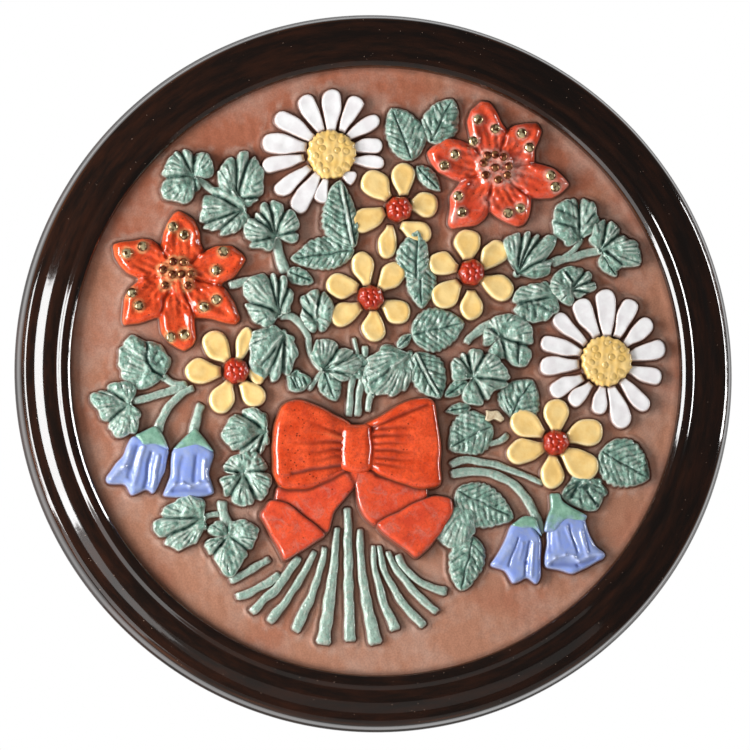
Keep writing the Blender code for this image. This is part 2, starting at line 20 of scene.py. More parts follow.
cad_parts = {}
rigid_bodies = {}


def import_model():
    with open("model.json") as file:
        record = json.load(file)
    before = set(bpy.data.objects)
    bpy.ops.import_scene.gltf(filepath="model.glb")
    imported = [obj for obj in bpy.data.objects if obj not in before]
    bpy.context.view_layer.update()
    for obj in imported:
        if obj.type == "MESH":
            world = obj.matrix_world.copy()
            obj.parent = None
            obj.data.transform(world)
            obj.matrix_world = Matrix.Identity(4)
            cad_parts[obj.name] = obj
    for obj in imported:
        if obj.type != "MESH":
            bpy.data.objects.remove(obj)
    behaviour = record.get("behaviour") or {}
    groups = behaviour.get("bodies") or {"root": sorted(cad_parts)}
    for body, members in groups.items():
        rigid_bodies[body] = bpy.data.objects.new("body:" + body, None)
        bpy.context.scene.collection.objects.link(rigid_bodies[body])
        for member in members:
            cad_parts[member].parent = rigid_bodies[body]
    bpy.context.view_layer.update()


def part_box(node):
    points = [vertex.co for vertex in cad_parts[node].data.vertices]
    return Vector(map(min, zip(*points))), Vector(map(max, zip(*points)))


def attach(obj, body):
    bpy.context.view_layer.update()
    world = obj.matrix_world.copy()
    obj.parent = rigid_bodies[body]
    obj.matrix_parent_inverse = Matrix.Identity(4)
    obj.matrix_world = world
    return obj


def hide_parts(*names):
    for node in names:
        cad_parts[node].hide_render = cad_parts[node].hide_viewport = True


LOG = logging.getLogger("plaque")
MM = 0.001
BODY = "root"
NODE = "plaque"
# How far inside the plaque's edge the ground and the back end (mm).
RIM_WIDTH = 30.0
RIM_OVERLAP = 6.0

Point = tuple[float, float]
Array = np.ndarray
Piece = bpy.types.Object
Tree = bpy.types.NodeTree
Node = bpy.types.Node


class Slot(Enum):
    """The record's material slots."""

    CLAY = "fired_clay"
    RIM = "rim_glaze"
    LEAF = "leaf_glaze"
    WHITE = "white_glaze"
    YELLOW = "yellow_glaze"
    RED = "red_glaze"
    BLUE = "blue_glaze"
    LUSTRE = "lustre_glaze"


class Patch(Enum):
    """How the rows of a plan join: rings closed round a middle, or a strip open at its sides."""

    ROUND = "round"
    STRIP = "strip"


@dataclass(frozen=True)
class Rises:
    """Height of the field, and how far each kind of modelled clay stands above it (mm)."""

    field: float = 15.0
    leaf: float = 4.6
    stem: float = 3.6
    daisy: float = 4.8
    yellow: float = 5.8
    red: float = 6.2
    disc: float = 7.0
    eye: float = 8.6
    bell: float = 6.4
    calyx: float = 7.2
    knot: float = 9.6


RISE = Rises()


# --------------------------------------------------------------------------- small tools


def ease(low: float, high: float, value: Array) -> Array:
    """Blend smoothly from 0 at the low value to 1 at the high one.

    Args:
        low: Value that gives 0.
        high: Value that gives 1.
        value: Values to blend.

    Returns:
        The blend, from 0 to 1.
    """
    share = np.clip((value - low) / (high - low), 0, 1)
    return share * share * (3.0 - 2.0 * share)


def line_mark(distance: Array, width: float) -> Array:
    """Depth share of a tooled line: 1 on the line, fading over this half width in mm."""
    return np.exp(-((distance / width) ** 2))


def edge_drop(edge: Array, radius: float) -> Array:
    """How far a rounded edge of this radius has dropped, at a distance in from the outline (mm)."""
    share = 1.0 - np.clip(edge / radius, 0, 1)
    return radius * (1.0 - np.sqrt(1.0 - share * share))


def wander(x: Array, z: Array, size: float, seed: int) -> Array:
    """Smooth unevenness of hand-worked clay.

    Args:
        x: Places across (mm).
        z: Places up (mm).
        size: Rough distance from one swell to the next (mm).
        seed: Picks the pattern.

    Returns:
        Values mostly between -1 and 1.
    """
    draw = np.random.default_rng(seed)
    total = np.zeros_like(x, dtype=float)
    for _ in range(6):
        angle, phase = draw.uniform(0, math.tau, 2)
        pitch = size * draw.uniform(0.7, 1.5)
        total += np.sin((x * math.cos(angle) + z * math.sin(angle)) * math.tau / pitch + phase)
    return total / 2.6


def distance_to_loop(x: Array, z: Array, loop: Array) -> Array:
    """Shortest way from each point to a closed outline.

    Args:
        x: Places across (mm).
        z: Places up (mm).
        loop: Outline as rows of (x, z).

    Returns:
        The distances, in the shape of x (mm).
    """
    way = np.roll(loop, -1, axis=0) - loop
    squared = np.maximum((way**2).sum(axis=1), 1e-9)
    across = x.reshape(-1, 1) - loop[:, 0]
    up = z.reshape(-1, 1) - loop[:, 1]
    share = np.clip((across * way[:, 0] + up * way[:, 1]) / squared, 0, 1)
    gap = np.hypot(across - share * way[:, 0], up - share * way[:, 1])
    return gap.min(axis=1).reshape(x.shape)


def resample(points: Array, spacing: float) -> Array:
    """Closed outline as evenly spaced points, running counterclockwise.

    Args:
        points: Outline as rows of (x, z).
        spacing: Rough distance between the new points (mm).

    Returns:
        The new outline.
    """
    closed = np.vstack([points, points[:1]])
    turn = closed[:-1, 0] * closed[1:, 1] - closed[1:, 0] * closed[:-1, 1]
    if turn.sum() < 0:
        closed = closed[::-1]
    run = np.concatenate([[0.0], np.cumsum(np.hypot(*np.diff(closed, axis=0).T))])
    at = np.linspace(0, run[-1], max(12, round(run[-1] / spacing)), endpoint=False)
    return np.stack([np.interp(at, run, closed[:, 0]), np.interp(at, run, closed[:, 1])], axis=1)


def soften(corners: Sequence[Point], radius: float, spacing: float = 0.8) -> Array:
    """Outline through hand-cut corners, each rounded off.

    Args:
        corners: The corners in order.
        radius: How far from its corner each rounding starts (mm).
        spacing: Distance between the outline's points (mm).

    Returns:
        The outline as rows of (x, z).
    """
    points = []
    for index, corner in enumerate(corners):
        ends = []
        for other in (corners[index - 1], corners[(index + 1) % len(corners)]):
            share = min(radius / math.dist(corner, other), 0.46)
            ends.append([c + (o - c) * share for c, o in zip(corner, other)])
        for t in np.linspace(0, 1, 7):
            weights = ((1 - t) ** 2, 2 * t * (1 - t), t * t)
            points.append([sum(w * p[axis] for w, p in zip(weights, (ends[0], corner, ends[1])))
                           for axis in (0, 1)])
    return resample(np.array(points), spacing)


def heading(start: Point, end: Point) -> tuple[float, float, float]:
    """Unit direction (x, z) from one place to another, and the distance between them (mm)."""
    dx, dz = end[0] - start[0], end[1] - start[1]
    length = math.hypot(dx, dz)
    return dx / length, dz / length, length


def outline_round(middle: Point, angle: Array, radius: Array) -> Array:
    """Outline round a middle, from its radius (mm) at each angle (radians)."""
    return np.stack([middle[0] + radius * np.cos(angle), middle[1] + radius * np.sin(angle)], axis=1)


def clean_slate() -> None:
    """Leave edit mode and deselect everything, so that an operator acts on new work only."""
    if bpy.context.object and bpy.context.object.mode != "OBJECT":
        bpy.ops.object.mode_set(mode="OBJECT")
    bpy.ops.object.select_all(action="DESELECT")


# --------------------------------------------------------------------------- clay shells


@dataclass
class Plan:
    """A modelled shape from the front, as rows of points (mm)."""

    x: Array
    z: Array
    patch: Patch

    def border(self) -> Array:
        """Numbers of the points along the outline, counterclockwise."""
        grid = np.arange(self.x.size).reshape(self.x.shape)
        if self.patch is Patch.ROUND:
            return grid[-1]
        sides = (grid[:, 0], grid[-1, 1:], grid[-2::-1, -1], grid[0, -2:0:-1])
        return np.concatenate(sides)

    def outline(self) -> Array:
        """The outline as rows of (x, z)."""
        border = self.border()
        return np.stack([self.x.ravel()[border], self.z.ravel()[border]], axis=1)

    def edge(self) -> Array:
        """Distance of each point from the outline (mm)."""
        return distance_to_loop(self.x, self.z, self.outline())


class ClayMesh:
    """Gathers the closed shells of one piece, with how the glaze lies at every point.

    The attribute `pool` is 1 where glaze has run into a hollow; on the clay ground it holds the brown
    wash and painted shade round the relief, and on the bow's slabs it adds painted contact shade.
    `thin` is 1 where it has drawn off an edge, and `bare` is 1 on the walls, where the brush missed
    and the clay shows; on the smear at a shell's foot the dark bare clay is partly painted contact
    shade.
    """

    # Rows of the wall: share of the way down, how far it has flared out (mm) and how bare it is.
    WALL = ((0.4, 0.1, 0.5), (0.85, 0.22, 0.9), (1.0, 0.4, 1.0))
    # The clay smeared out at its foot: how far it reaches and its height over the field (mm).
    # Its dark bare clay is partly painted contact shade at the shape's foot.
    SMEAR = ((0.9, 0.1), (1.5, -0.6))
    # How bare the edge itself is, how high over the field the wall ends and how far shapes warp.
    EDGE_BARE = 0.35
    FOOT_MM = 0.35
    WARP_MM = 0.3

    def __init__(self) -> None:
        """Start empty."""
        self.points: list[Array] = []
        self.marks: dict[str, list[Array]] = {"pool": [], "thin": [], "bare": []}
        self.faces: list[list[int]] = []
        self.outlines: list[Array] = []
        self.count = 0

    def _add_points(self, x: Array, z: Array, height: Array, *marks: Array) -> Array:
        """Add points and what the glaze does there.

        Args:
            x: Places across (mm).
            z: Places up (mm).
            height: Heights from the wall (mm).
            *marks: Pooled glaze, thin glaze and bare clay, each 0 to 1.

        Returns:
            The numbers of the new points, in the shape of x.
        """
        bent_x = x + self.WARP_MM * wander(x, z, 15, 71)
        bent_z = z + self.WARP_MM * wander(x, z, 15, 72)
        self.points.append(np.stack([bent_x, -height, bent_z], axis=-1).reshape(-1, 3))
        for gathered, mark in zip(self.marks.values(), marks):
            gathered.append(np.clip(mark, 0, 1).ravel())
        numbers = self.count + np.arange(x.size).reshape(x.shape)
        self.count += x.size
        return numbers

    def _add_quads(self, *corners: Array) -> None:
        """Add quads whose corners are given as four arrays of point numbers."""
        self.faces.extend(np.stack([c.ravel() for c in corners], axis=1).tolist())

    def add(self, plan: Plan, height: Array, pool: Array, thin: Array,
            foot: Optional[float] = None) -> None:
        """Add one shell: its modelled front, its wall down into the field and its underside.

        Args:
            plan: The shape from the front.
            height: Heights of its points from the wall (mm).
            pool: Pooled glaze at its points.
            thin: Thin glaze at its points.
            foot: Height of its underside (mm); if left out, the wall ends in a smear of clay.
        """
        outline, border = plan.outline(), plan.border()
        self.outlines.append(outline)
        low = RISE.field + self.FOOT_MM if foot is None else foot
        bare = np.zeros_like(plan.x)
        bare.ravel()[border] = self.EDGE_BARE
        grid = self._add_points(plan.x, plan.z, height, pool, thin, bare)
        if plan.patch is Patch.ROUND:
            ahead = np.roll(grid, -1, axis=1)
            self._add_quads(grid[:-1], grid[1:], ahead[1:], ahead[:-1])
            means = [np.array([values[0].mean()])
                     for values in (plan.x, plan.z, height, pool, thin, bare)]
            middle = self._add_points(*means)[0]
            for here, after in zip(grid[0].tolist(), ahead[0].tolist()):
                self.faces.append([int(middle), here, after])
        else:
            self._add_quads(grid[:-1, :-1], grid[1:, :-1], grid[1:, 1:], grid[:-1, 1:])
        loop = grid.ravel()[border]
        way = np.roll(outline, -1, axis=0) - np.roll(outline, 1, axis=0)
        way /= np.maximum(np.hypot(way[:, 0], way[:, 1]), 1e-6)[:, None]
        top = height.ravel()[border]
        rows = [(top + (low - top) * share, flare, bared) for share, flare, bared in self.WALL]
        if foot is None:
            rows += [(np.full(top.shape, RISE.field + rise), flare, 1.0) for flare, rise in self.SMEAR]
        for level, flare, bared in rows:
            x = outline[:, 0] + way[:, 1] * flare
            z = outline[:, 1] - way[:, 0] * flare
            glaze = [np.full(x.shape, share) for share in (0.5 * bared, 0.0, bared)]
            lower = self._add_points(x, z, level, *glaze)
            self._add_quads(loop, lower, np.roll(lower, -1), np.roll(loop, -1))
            loop = lower
        self.faces.append(loop[::-1].tolist())

    def height_at(self, place: Point, within: float = 0.9) -> float:
        """Height of the clay from the wall at a place, from the points within this distance (mm)."""
        points = np.concatenate(self.points)
        near = np.hypot(points[:, 0] - place[0], points[:, 2] - place[1]) < within
        return float(-points[near, 1].min())

    def finish(self, name: str) -> Piece:
        """Make the object.

        Args:
            name: Its name.

        Returns:
            The object, at the origin, with its place in its mesh.
        """
        mesh = bpy.data.meshes.new(name)
        mesh.from_pydata((np.concatenate(self.points) * MM).tolist(), [], self.faces)
        for mark, values in self.marks.items():
            layer = mesh.attributes.new(mark, "FLOAT", "POINT")
            layer.data.foreach_set("value", np.concatenate(values).astype(np.float32))
        mesh.polygons.foreach_set("use_smooth", np.ones(len(mesh.polygons), dtype=bool))
        mesh.update()
        piece = bpy.data.objects.new(name, mesh)
        bpy.context.scene.collection.objects.link(piece)
        return piece


def rings(outline: Array, middle: Point, inner: int, band: Sequence[float]) -> Array:
    """Shares of the way from the middle to the outline at which rings of points lie.

    Args:
        outline: Outline as rows of (x, z).
        middle: The middle that the rings close round.
        inner: Number of rings inside the edge band.
        band: Distances of the edge band's rings in from the outline, down to 0 (mm).

    Returns:
        Shares as rings by outline points.
    """
    reach = np.hypot(outline[:, 0] - middle[0], outline[:, 1] - middle[1])
    inset = np.asarray(band, dtype=float)
    room = np.minimum(1, 0.5 * reach / inset[0])
    edge_rows = 1.0 - inset[:, None] * (room / reach)[None, :]
    inner_rows = np.linspace(1 / (inner + 1), 1, inner, endpoint=False)[:, None] * edge_rows[0]
    return np.vstack([inner_rows, edge_rows])


def round_plan(outline: Array, middle: Point, inner: int, band: Sequence[float]) -> Plan:
    """Plan of a shape as rings round its middle, close together near the edge."""
    share = rings(outline, middle, inner, band)
    x = middle[0] + share * (outline[:, 0] - middle[0])
    z = middle[1] + share * (outline[:, 1] - middle[1])
    return Plan(x, z, Patch.ROUND)


# --------------------------------------------------------------------------- shapes of clay


@dataclass(frozen=True)
class PetalShape:
    """A kind of petal: width at its base, where it is widest and how sharply it closes."""

    base_share: float
    peak: float
    power: float
    uneven: float = 0.04

    def spread(self, t: Array) -> Array:
        """Half width along the petal, as a share of the greatest half width."""
        growth = np.sin(math.pi / 2 * np.minimum(t / self.peak, 1)) ** 1.3
        past = np.clip((t - self.peak) / (1 - self.peak), 0, 1)
        closing = np.sqrt(np.maximum(1 - past**self.power, 0.0004))
        return (self.base_share + (1.0 - self.base_share) * growth) * closing


@dataclass(frozen=True)
class Petal:
    """A petal from its base to its tip, with its greatest width (mm)."""

    base: Point
    tip: Point
    width: float

    def plan(self, shape: PetalShape, rows: int, columns: int) -> tuple[Plan, Array, Array]:
        """Lay the petal out as rows from base to tip.

        Args:
            shape: The kind of petal.
            rows: Number of rows.
            columns: Points in each row.

        Returns:
            The plan, how far along each point is, and where it lies between the sides (-1 to 1).
        """
        along = 1.0 - (1.0 - np.linspace(0, 1, rows)) ** 1.7
        across = np.sin(np.linspace(-1, 1, columns) * math.pi / 2)
        t, w = np.meshgrid(along, across, indexing="ij")
        dx, dz, length = heading(self.base, self.tip)
        cut = 1.0 + shape.uneven * np.sin(t * 8.0 + self.tip[0] + 1.5 * np.sign(w))
        offset = w * shape.spread(t) * cut * self.width / 2
        x = self.base[0] + dx * t * length - dz * offset
        z = self.base[1] + dz * t * length + dx * offset
        return Plan(x, z, Patch.STRIP), t, w


@dataclass(frozen=True)
class Crease:
    """A line pressed into the clay, or a ridge where its depth is negative.

    `fade` is how much of its depth it has lost where it ends.
    """

    start: Point
    end: Point
    depth: float
    width: float
    fade: float = 0.0

    def mark(self, x: Array, z: Array) -> Array:
        """Share of the depth at each place."""
        dx, dz = self.end[0] - self.start[0], self.end[1] - self.start[1]
        share = ((x - self.start[0]) * dx + (z - self.start[1]) * dz) / (dx * dx + dz * dz)
        share = np.clip(share, 0, 1)
        gap = np.hypot(x - self.start[0] - share * dx, z - self.start[1] - share * dz)
        return line_mark(gap, self.width) * (1.0 - self.fade * share**2)


def crease_chain(depth: float, width: float, *places: Point) -> tuple[Crease, ...]:
    """Creases of one depth and width, end to end through these places."""
    return tuple(Crease(start, end, depth, width) for start, end in zip(places, places[1:]))


@dataclass(frozen=True)
class Fan:
    """A leaf whose lobes spread round its hub, from one angle to another (degrees).

    `folds` are the headings of the deep folds between its big lobes, `cuts` those of the finer tool
    marks between them, and `creases` are worked in across the leaf.
    """

    hub: Point
    start: float
    stop: float
    reach: tuple[float, ...]
    folds: tuple[float, ...] = ()
    cuts: tuple[float, ...] = ()
    creases: tuple[Crease, ...] = ()
    lift: float = 0.0

    SPOKE_DEGREES = 1.6
    RINGS = 18
    HEEL = 2.2
    BAND = (1.8, 1.3, 0.9, 0.55, 0.25, 0.0)

    def _spokes(self) -> tuple[Array, Array]:
        """Angle (radians) and outline radius (mm) of each spoke of the leaf, once round."""
        count = len(self.reach)
        start, swing = math.radians(self.start), math.radians(self.stop - self.start)
        step = swing / (count - 1)
        gap = math.tau - swing
        close = min(gap / 2, 0.7 * step + math.radians(12))
        spokes = max(20, round(math.degrees(swing) / self.SPOKE_DEGREES))
        angle = np.linspace(start, start + swing, spokes)
        at = (angle - start) / step
        lobe = np.clip(np.floor(at).astype(int), 0, count - 2)
        past = at - lobe
        reach = np.array(self.reach)
        radius = reach[lobe] + (reach[lobe + 1] - reach[lobe]) * ease(0, 1, past)
        for fold in self.folds:
            radius *= 1.0 - 0.15 * line_mark(self._across(angle, radius, fold), 1.5)
        for cut in self.cuts[::2]:
            radius *= 1.0 - 0.025 * line_mark(self._across(angle, radius, cut), 1.3)
        radius += 0.25 * wander(radius * np.cos(angle), radius * np.sin(angle), 6, 30)
        turn = np.linspace(0, 1, 14)[1:]
        fall = np.sqrt(np.maximum(1 - turn**2.2, 0))
        last = self.HEEL + (radius[-1] - self.HEEL) * fall
        first = self.HEEL + (radius[0] - self.HEEL) * fall
        spare = gap - 2.0 * close
        heel = np.linspace(0, spare, 3 + int(spare / math.radians(10)))[1:-1]
        if spare < math.radians(8):
            heel, first, turn_back = heel[:0], first[:-1], turn[-2::-1]
        else:
            turn_back = turn[::-1]
        after = angle[-1] + close + heel
        angle = np.concatenate([angle, angle[-1] + close * turn, after,
                                start + math.tau - close * turn_back])
        return angle, np.concatenate([radius, last, np.full(heel.shape, self.HEEL), first[::-1]])

    @staticmethod
    def _across(angle: Array, radius: Array, heading: float) -> Array:
        """Signed distance (mm) round the hub from the line at this heading (degrees)."""
        way = (angle - math.radians(heading) + math.pi) % (math.tau) - math.pi
        return radius * way

    def _tilt(self, angle: Array, r: Array, draw: np.random.Generator) -> Array:
        """Swell of each big lobe, and its lean to one side or the other (mm)."""
        folds = sorted(self.start + (fold - self.start) % 360.0 for fold in self.folds)
        bounds = np.radians([self.start - 25.0, *folds, self.stop + 25.0])
        number = np.clip(np.searchsorted(bounds, angle) - 1, 0, len(bounds) - 2)
        half = (bounds[1:] - bounds[:-1]) / 2
        place = (angle - bounds[number] - half[number]) / half[number]
        lean = draw.uniform(-1.2, 1.2, len(half))[number]
        across = np.clip(place, -1, 1)
        return (across * lean + 1.8 * (1 - across**2))[None, :] * np.minimum(1, 0.09 * r)

    def model(self, clay: ClayMesh) -> None:
        """Model the leaf: tilted lobes, deep folds between them, finer cuts and pressed creases.

        Args:
            clay: The piece that takes the shell.
        """
        draw = np.random.default_rng(abs(int(self.hub[0] * 10 + self.hub[1])))
        angle, radius = self._spokes()
        share = rings(outline_round(self.hub, angle, radius), self.hub, self.RINGS, self.BAND)
        r = share * radius
        bend = draw.uniform(-0.1, 0.1) + 0.09 * np.sin(angle * 3 + draw.uniform(0, 6))
        turned = angle[None, :] + bend[None, :] * share * (1 - share)
        x = self.hub[0] + r * np.cos(turned)
        z = self.hub[1] + r * np.sin(turned)
        plan = Plan(x, z, Patch.ROUND)
        edge = plan.edge()
        pool = 0.3 * (1 - ease(0, 0.22, share))
        ridge = np.zeros_like(r)
        dome = 0.72 + 0.3 * np.sin(math.pi * np.clip(share * 1.05, 0, 1))
        height = RISE.field + self.lift + RISE.leaf * dome + self._tilt(angle, r, draw)
        for fold in self.folds:
            gap = np.abs(self._across(angle, r, fold))
            groove = np.exp(-((gap / 0.8) ** 1.4)) * ease(0.06, 0.3, share)
            height += 0.5 * (1 - np.exp(-gap / 3.0)) * ease(0.1, 0.5, share) - 1.7 * groove
            pool += 0.95 * groove
            ridge += 0.7 * line_mark(gap - 1.8, 0.7) * ease(0.1, 0.35, share)
        for number, cut in enumerate(self.cuts):
            begin, depth, wide = draw.uniform((0.3, 0.25, 0.3), (0.62, 0.65, 0.42))
            stop = 1.05 if number % 2 == 0 else draw.uniform(0.74, 0.92)
            run = ease(begin, begin + 0.25, share) * (1 - ease(stop, stop + 0.1, share))
            drift = draw.uniform(-1.2, 1.2) * (share - 0.6)
            gap = self._across(angle, r, cut) + drift
            groove = line_mark(gap, wide) * run
            bank = line_mark(np.abs(gap) - 1.1, 0.5) * run
            height += 0.12 * bank - depth * groove
            pool += 1.15 * depth * groove
            ridge += 0.75 * bank
        for crease in self.creases:
            mark = crease.mark(x, z) * ease(0, 1.2, edge)
            height -= crease.depth * mark
            pool += max(0.0, 0.7 * crease.depth) * mark
            ridge += max(0.0, -0.8 * crease.depth) * mark
        height += 0.6 * wander(x, z, 12, 31) + 0.34 * wander(x, z, 4, 32)
        height -= 0.7 * edge_drop(edge, 2.8)
        pool += 0.4 * ease(0.25, 0.8, wander(x, z, 5, 36))
        ridge += 0.7 * line_mark(wander(x, z, 6, 37), 0.07) * ease(1.5, 3, edge)
        thin = 0.65 * ridge + 0.8 * (1 - ease(0.1, 1, edge))
        clay.add(plan, height, pool, thin * (1 - np.clip(pool, 0, 1)))


@dataclass(frozen=True)
class Blade:
    """A leaf along a midrib, with its greatest half width left and right of the way to the tip."""

    base: Point
    tip: Point
    left: float
    right: float
    lift: float = 0.0
    raised_rib: bool = False

    VEIN_PITCH = 3.8
    SLANT = 0.8
    ROW_MM = 0.6
    COLUMNS = 39

    def model(self, clay: ClayMesh) -> None:
        """Model the leaf: a midrib, slanting veins on both sides and a toothed outline.

        Args:
            clay: The piece that takes the shell.
        """
        dx, dz, length = heading(self.base, self.tip)
        along = np.linspace(0, 1, max(14, int(length / self.ROW_MM)))
        t, w = np.meshgrid(along, np.linspace(-1, 1, self.COLUMNS), indexing="ij")
        half = np.where(w > 0, self.left, self.right)
        teeth = max(3, round(length / self.VEIN_PITCH))
        draw = np.random.default_rng(abs(int(self.base[0] * 10 + self.base[1])))
        uneven = 0.16 * np.sin(t * 7.0 + draw.uniform(0, 6))
        uneven = uneven + 0.1 * np.sin(t * 17.0 + draw.uniform(0, 6))
        scallop = 1.0 + 0.08 * (np.abs(np.sin(math.pi * (teeth * t + uneven))) ** 0.8 - 0.5)
        spread = (0.02 + 0.98 * np.sin(math.pi * np.clip(t, 0, 1) ** 0.8) ** 0.72) * scallop
        offset = w * spread * half
        x = self.base[0] + dx * t * length - dz * offset
        z = self.base[1] + dz * t * length + dx * offset
        plan = Plan(x, z, Patch.STRIP)
        edge = plan.edge()
        out = np.abs(offset)
        phase = (t * length - self.SLANT * out) / self.VEIN_PITCH + 0.15 * np.sin(out * 0.4)
        phase += np.where(w > 0, 0, 0.4) + uneven
        vein = np.rint(phase)
        gap = np.abs(phase - vein) * self.VEIN_PITCH
        strong = 0.7 + 0.3 * np.sin(vein * 2.4 + np.where(w > 0, 0, 1.7))
        reach = ease(0.6, 2, out) * ease(0, 1.4, edge)
        veins = line_mark(gap, 0.42) * reach * strong
        swell = np.sin(math.pi * np.clip(gap / self.VEIN_PITCH * 2, 0, 1) / 2) * reach
        if self.raised_rib:
            rib = line_mark(out, 0.75)
            beside = line_mark(out - 1.35, 0.45)
        else:
            rib = np.zeros_like(out)
            beside = line_mark(out, 0.55)
        spine = ease(0, 0.08, t) * (1 - ease(0.86, 0.98, t))
        fold = 1.1 * (1 - np.clip(out / np.maximum(spread * half, 0.5), 0, 1))
        height = RISE.field + self.lift + RISE.leaf * 0.82 + fold
        height += 0.32 * swell + (0.8 * rib - 1.2 * beside) * spine - 0.65 * veins
        height -= 0.7 * edge_drop(edge, 2.6)
        height += 0.6 * wander(x, z, 11, 33) + 0.3 * wander(x, z, 4, 34)
        pool = 0.8 * veins + 0.95 * beside * spine + 0.35 * ease(0.25, 0.8, wander(x, z, 5, 38))
        thin = 0.55 * ease(0.5, 1, swell) * ease(0, 0.6, wander(x, z, 6, 39)) + 0.7 * rib * spine
        thin = thin + 0.75 * (1 - ease(0.1, 1, edge))
        clay.add(plan, height, pool, thin * (1 - np.clip(pool, 0, 1)))


@dataclass(frozen=True)
class Stem:
    """A rolled strip of clay through three points, with its width at both ends (mm)."""

    start: Point
    middle: Point
    end: Point
    first: float
    last: float

    FLARE = 1.6
    ROW_MM = 1.1
    COLUMNS = 13

    def model(self, clay: ClayMesh, rise: float) -> None:
        """Model the stem: a flattened roll with a squared end.

        Args:
            clay: The piece that takes the shell.
            rise: Height of its back above the field (mm).
        """
        length = math.dist(self.start, self.middle) + math.dist(self.middle, self.end)
        t = np.linspace(0, 1, max(10, int(length / self.ROW_MM)))
        control = [2 * m - (a + b) / 2 for a, m, b in zip(self.start, self.middle, self.end)]
        line = [a * (1 - t) ** 2 + c * 2 * t * (1 - t) + b * t * t
                for a, c, b in zip(self.start, control, self.end)]
        dx, dz = np.gradient(line[0]), np.gradient(line[1])
        size = np.hypot(dx, dz)
        dx, dz = dx / size, dz / size
        run = np.concatenate([[0.0], np.cumsum(size[1:])])
        ends = np.minimum(run, run[-1] - run)
        width = self.first + (self.last - self.first) * t**self.FLARE
        width = width * (1.0 + 0.05 * np.sin(run * 0.55 + self.start[0]))
        width = width * (0.72 + 0.28 * ease(0, 1.3, ends))
        w = np.sin(np.linspace(-1, 1, self.COLUMNS) * math.pi / 2)
        offset = w[None, :] * width[:, None] / 2
        x = line[0][:, None] - dz[:, None] * offset
        z = line[1][:, None] + dx[:, None] * offset
        plan = Plan(x, z, Patch.STRIP)
        edge = plan.edge()
        crown = 0.9 * (1 - w[None, :] ** 2) * np.minimum(width[:, None] / 6, 1)
        height = RISE.field + rise - 0.9 + crown - edge_drop(edge, 1.25)
        height += 0.14 * wander(x, z, 5, 35)
        seam = line_mark(w[None, :] * width[:, None] / 2 - 0.6 * np.sin(run * 0.16)[:, None], 0.35)
        height -= 0.16 * seam
        thin = 0.25 + 0.5 * (1 - ease(0.2, 1.1, edge))
        clay.add(plan, height, 0.3 * seam, thin)


@dataclass(frozen=True)
class Form:
    """A hand-cut slab: its middle and the corners of its outline."""

    middle: Point
    corners: tuple[Point, ...]

    def plan(self, radius: float, inner: int, band: Sequence[float], spacing: float = 0.8) -> Plan:
        """Plan of the slab with its corners rounded by this radius (mm)."""
        return round_plan(soften(self.corners, radius, spacing), self.middle, inner, band)


# --------------------------------------------------------------------------- finishes


def linear(code: str) -> tuple[float, float, float, float]:
    """Turn an sRGB hex colour into the linear colour that shaders work in."""
    parts = [int(code[index:index + 2], 16) / 255 for index in (1, 3, 5)]
    values = [part / 12.92 if part <= 0.04045 else ((part + 0.055) / 1.055) ** 2.4 for part in parts]
    return (values[0], values[1], values[2], 1.0)


def feed(tree: Tree, node: Node, inputs: dict[Any, Any]) -> None:
    """Give a node's inputs, by name or number, their plain values or the sockets that feed them."""
    for key, value in inputs.items():
        if isinstance(value, bpy.types.NodeSocket):
            tree.links.new(value, node.inputs[key])
        else:
            node.inputs[key].default_value = value


def add_node(tree: Tree, kind: str, inputs: Optional[dict[Any, Any]] = None,
             **settings: Any) -> Node:
    """Add a node with its settings and what goes into it.

    Args:
        tree: The material's or world's tree.
        kind: Blender's name of the node, without the ShaderNode that all of them start with.
        inputs: For each input, by name or number, the socket that feeds it or its plain value.
        **settings: The node's own properties.

    Returns:
        The node.
    """
    node = tree.nodes.new(f"ShaderNode{kind}")
    for name, value in settings.items():
        setattr(node, name, value)
    feed(tree, node, inputs or {})
    return node


def layered(tree: Tree, base: str, layers: Sequence[tuple[Any, str]]) -> Any:
    """Colours laid one over another.

    Args:
        tree: The material's tree.
        base: The lowest colour, sRGB hex.
        layers: Socket with the share that each further layer covers, and the layer's colour.

    Returns:
        Socket with the colour that shows.
    """
    shown: Any = linear(base)
    for share, code in layers:
        over = add_node(tree, "Mix", {0: share, 6: shown, 7: linear(code)}, data_type="RGBA")
        shown = over.outputs[2]
    return shown


def patches(tree: Tree, place: Any, size_mm: float, low: float, high: float,
            top: float = 1.0, detail: float = 4.0, roughness: float = 0.6,
            distortion: float = 0.0) -> Any:
    """Cloudy patches.

    Args:
        tree: The material's tree.
        place: Socket with the place on the piece.
        size_mm: Size of the patches (mm).
        low: Noise at which a patch starts.
        high: Noise at which it is full.
        top: How far a full patch covers.
        detail: How many finer sizes the noise holds.
        roughness: How strong the finer sizes are.
        distortion: How much the patches are stirred.

    Returns:
        Socket from 0 between the patches to the top share in them.
    """
    noise = add_node(tree, "TexNoise", {
        "Vector": place, "Scale": 1.0 / (size_mm * MM), "Detail": detail,
        "Roughness": roughness, "Distortion": distortion})
    return add_node(tree, "MapRange", {
        "Value": noise.outputs[0], "From Min": low, "From Max": high, "To Max": top}).outputs[0]


def marked(tree: Tree, mark: str, share: Any = 1.0) -> Any:
    """Socket with how the glaze lies (`pool`, `thin` or `bare`) times a share, at most 1."""
    found = add_node(tree, "Attribute", attribute_name=mark).outputs["Fac"]
    return add_node(tree, "Math", {0: found, 1: share}, operation="MULTIPLY",
                    use_clamp=True).outputs[0]


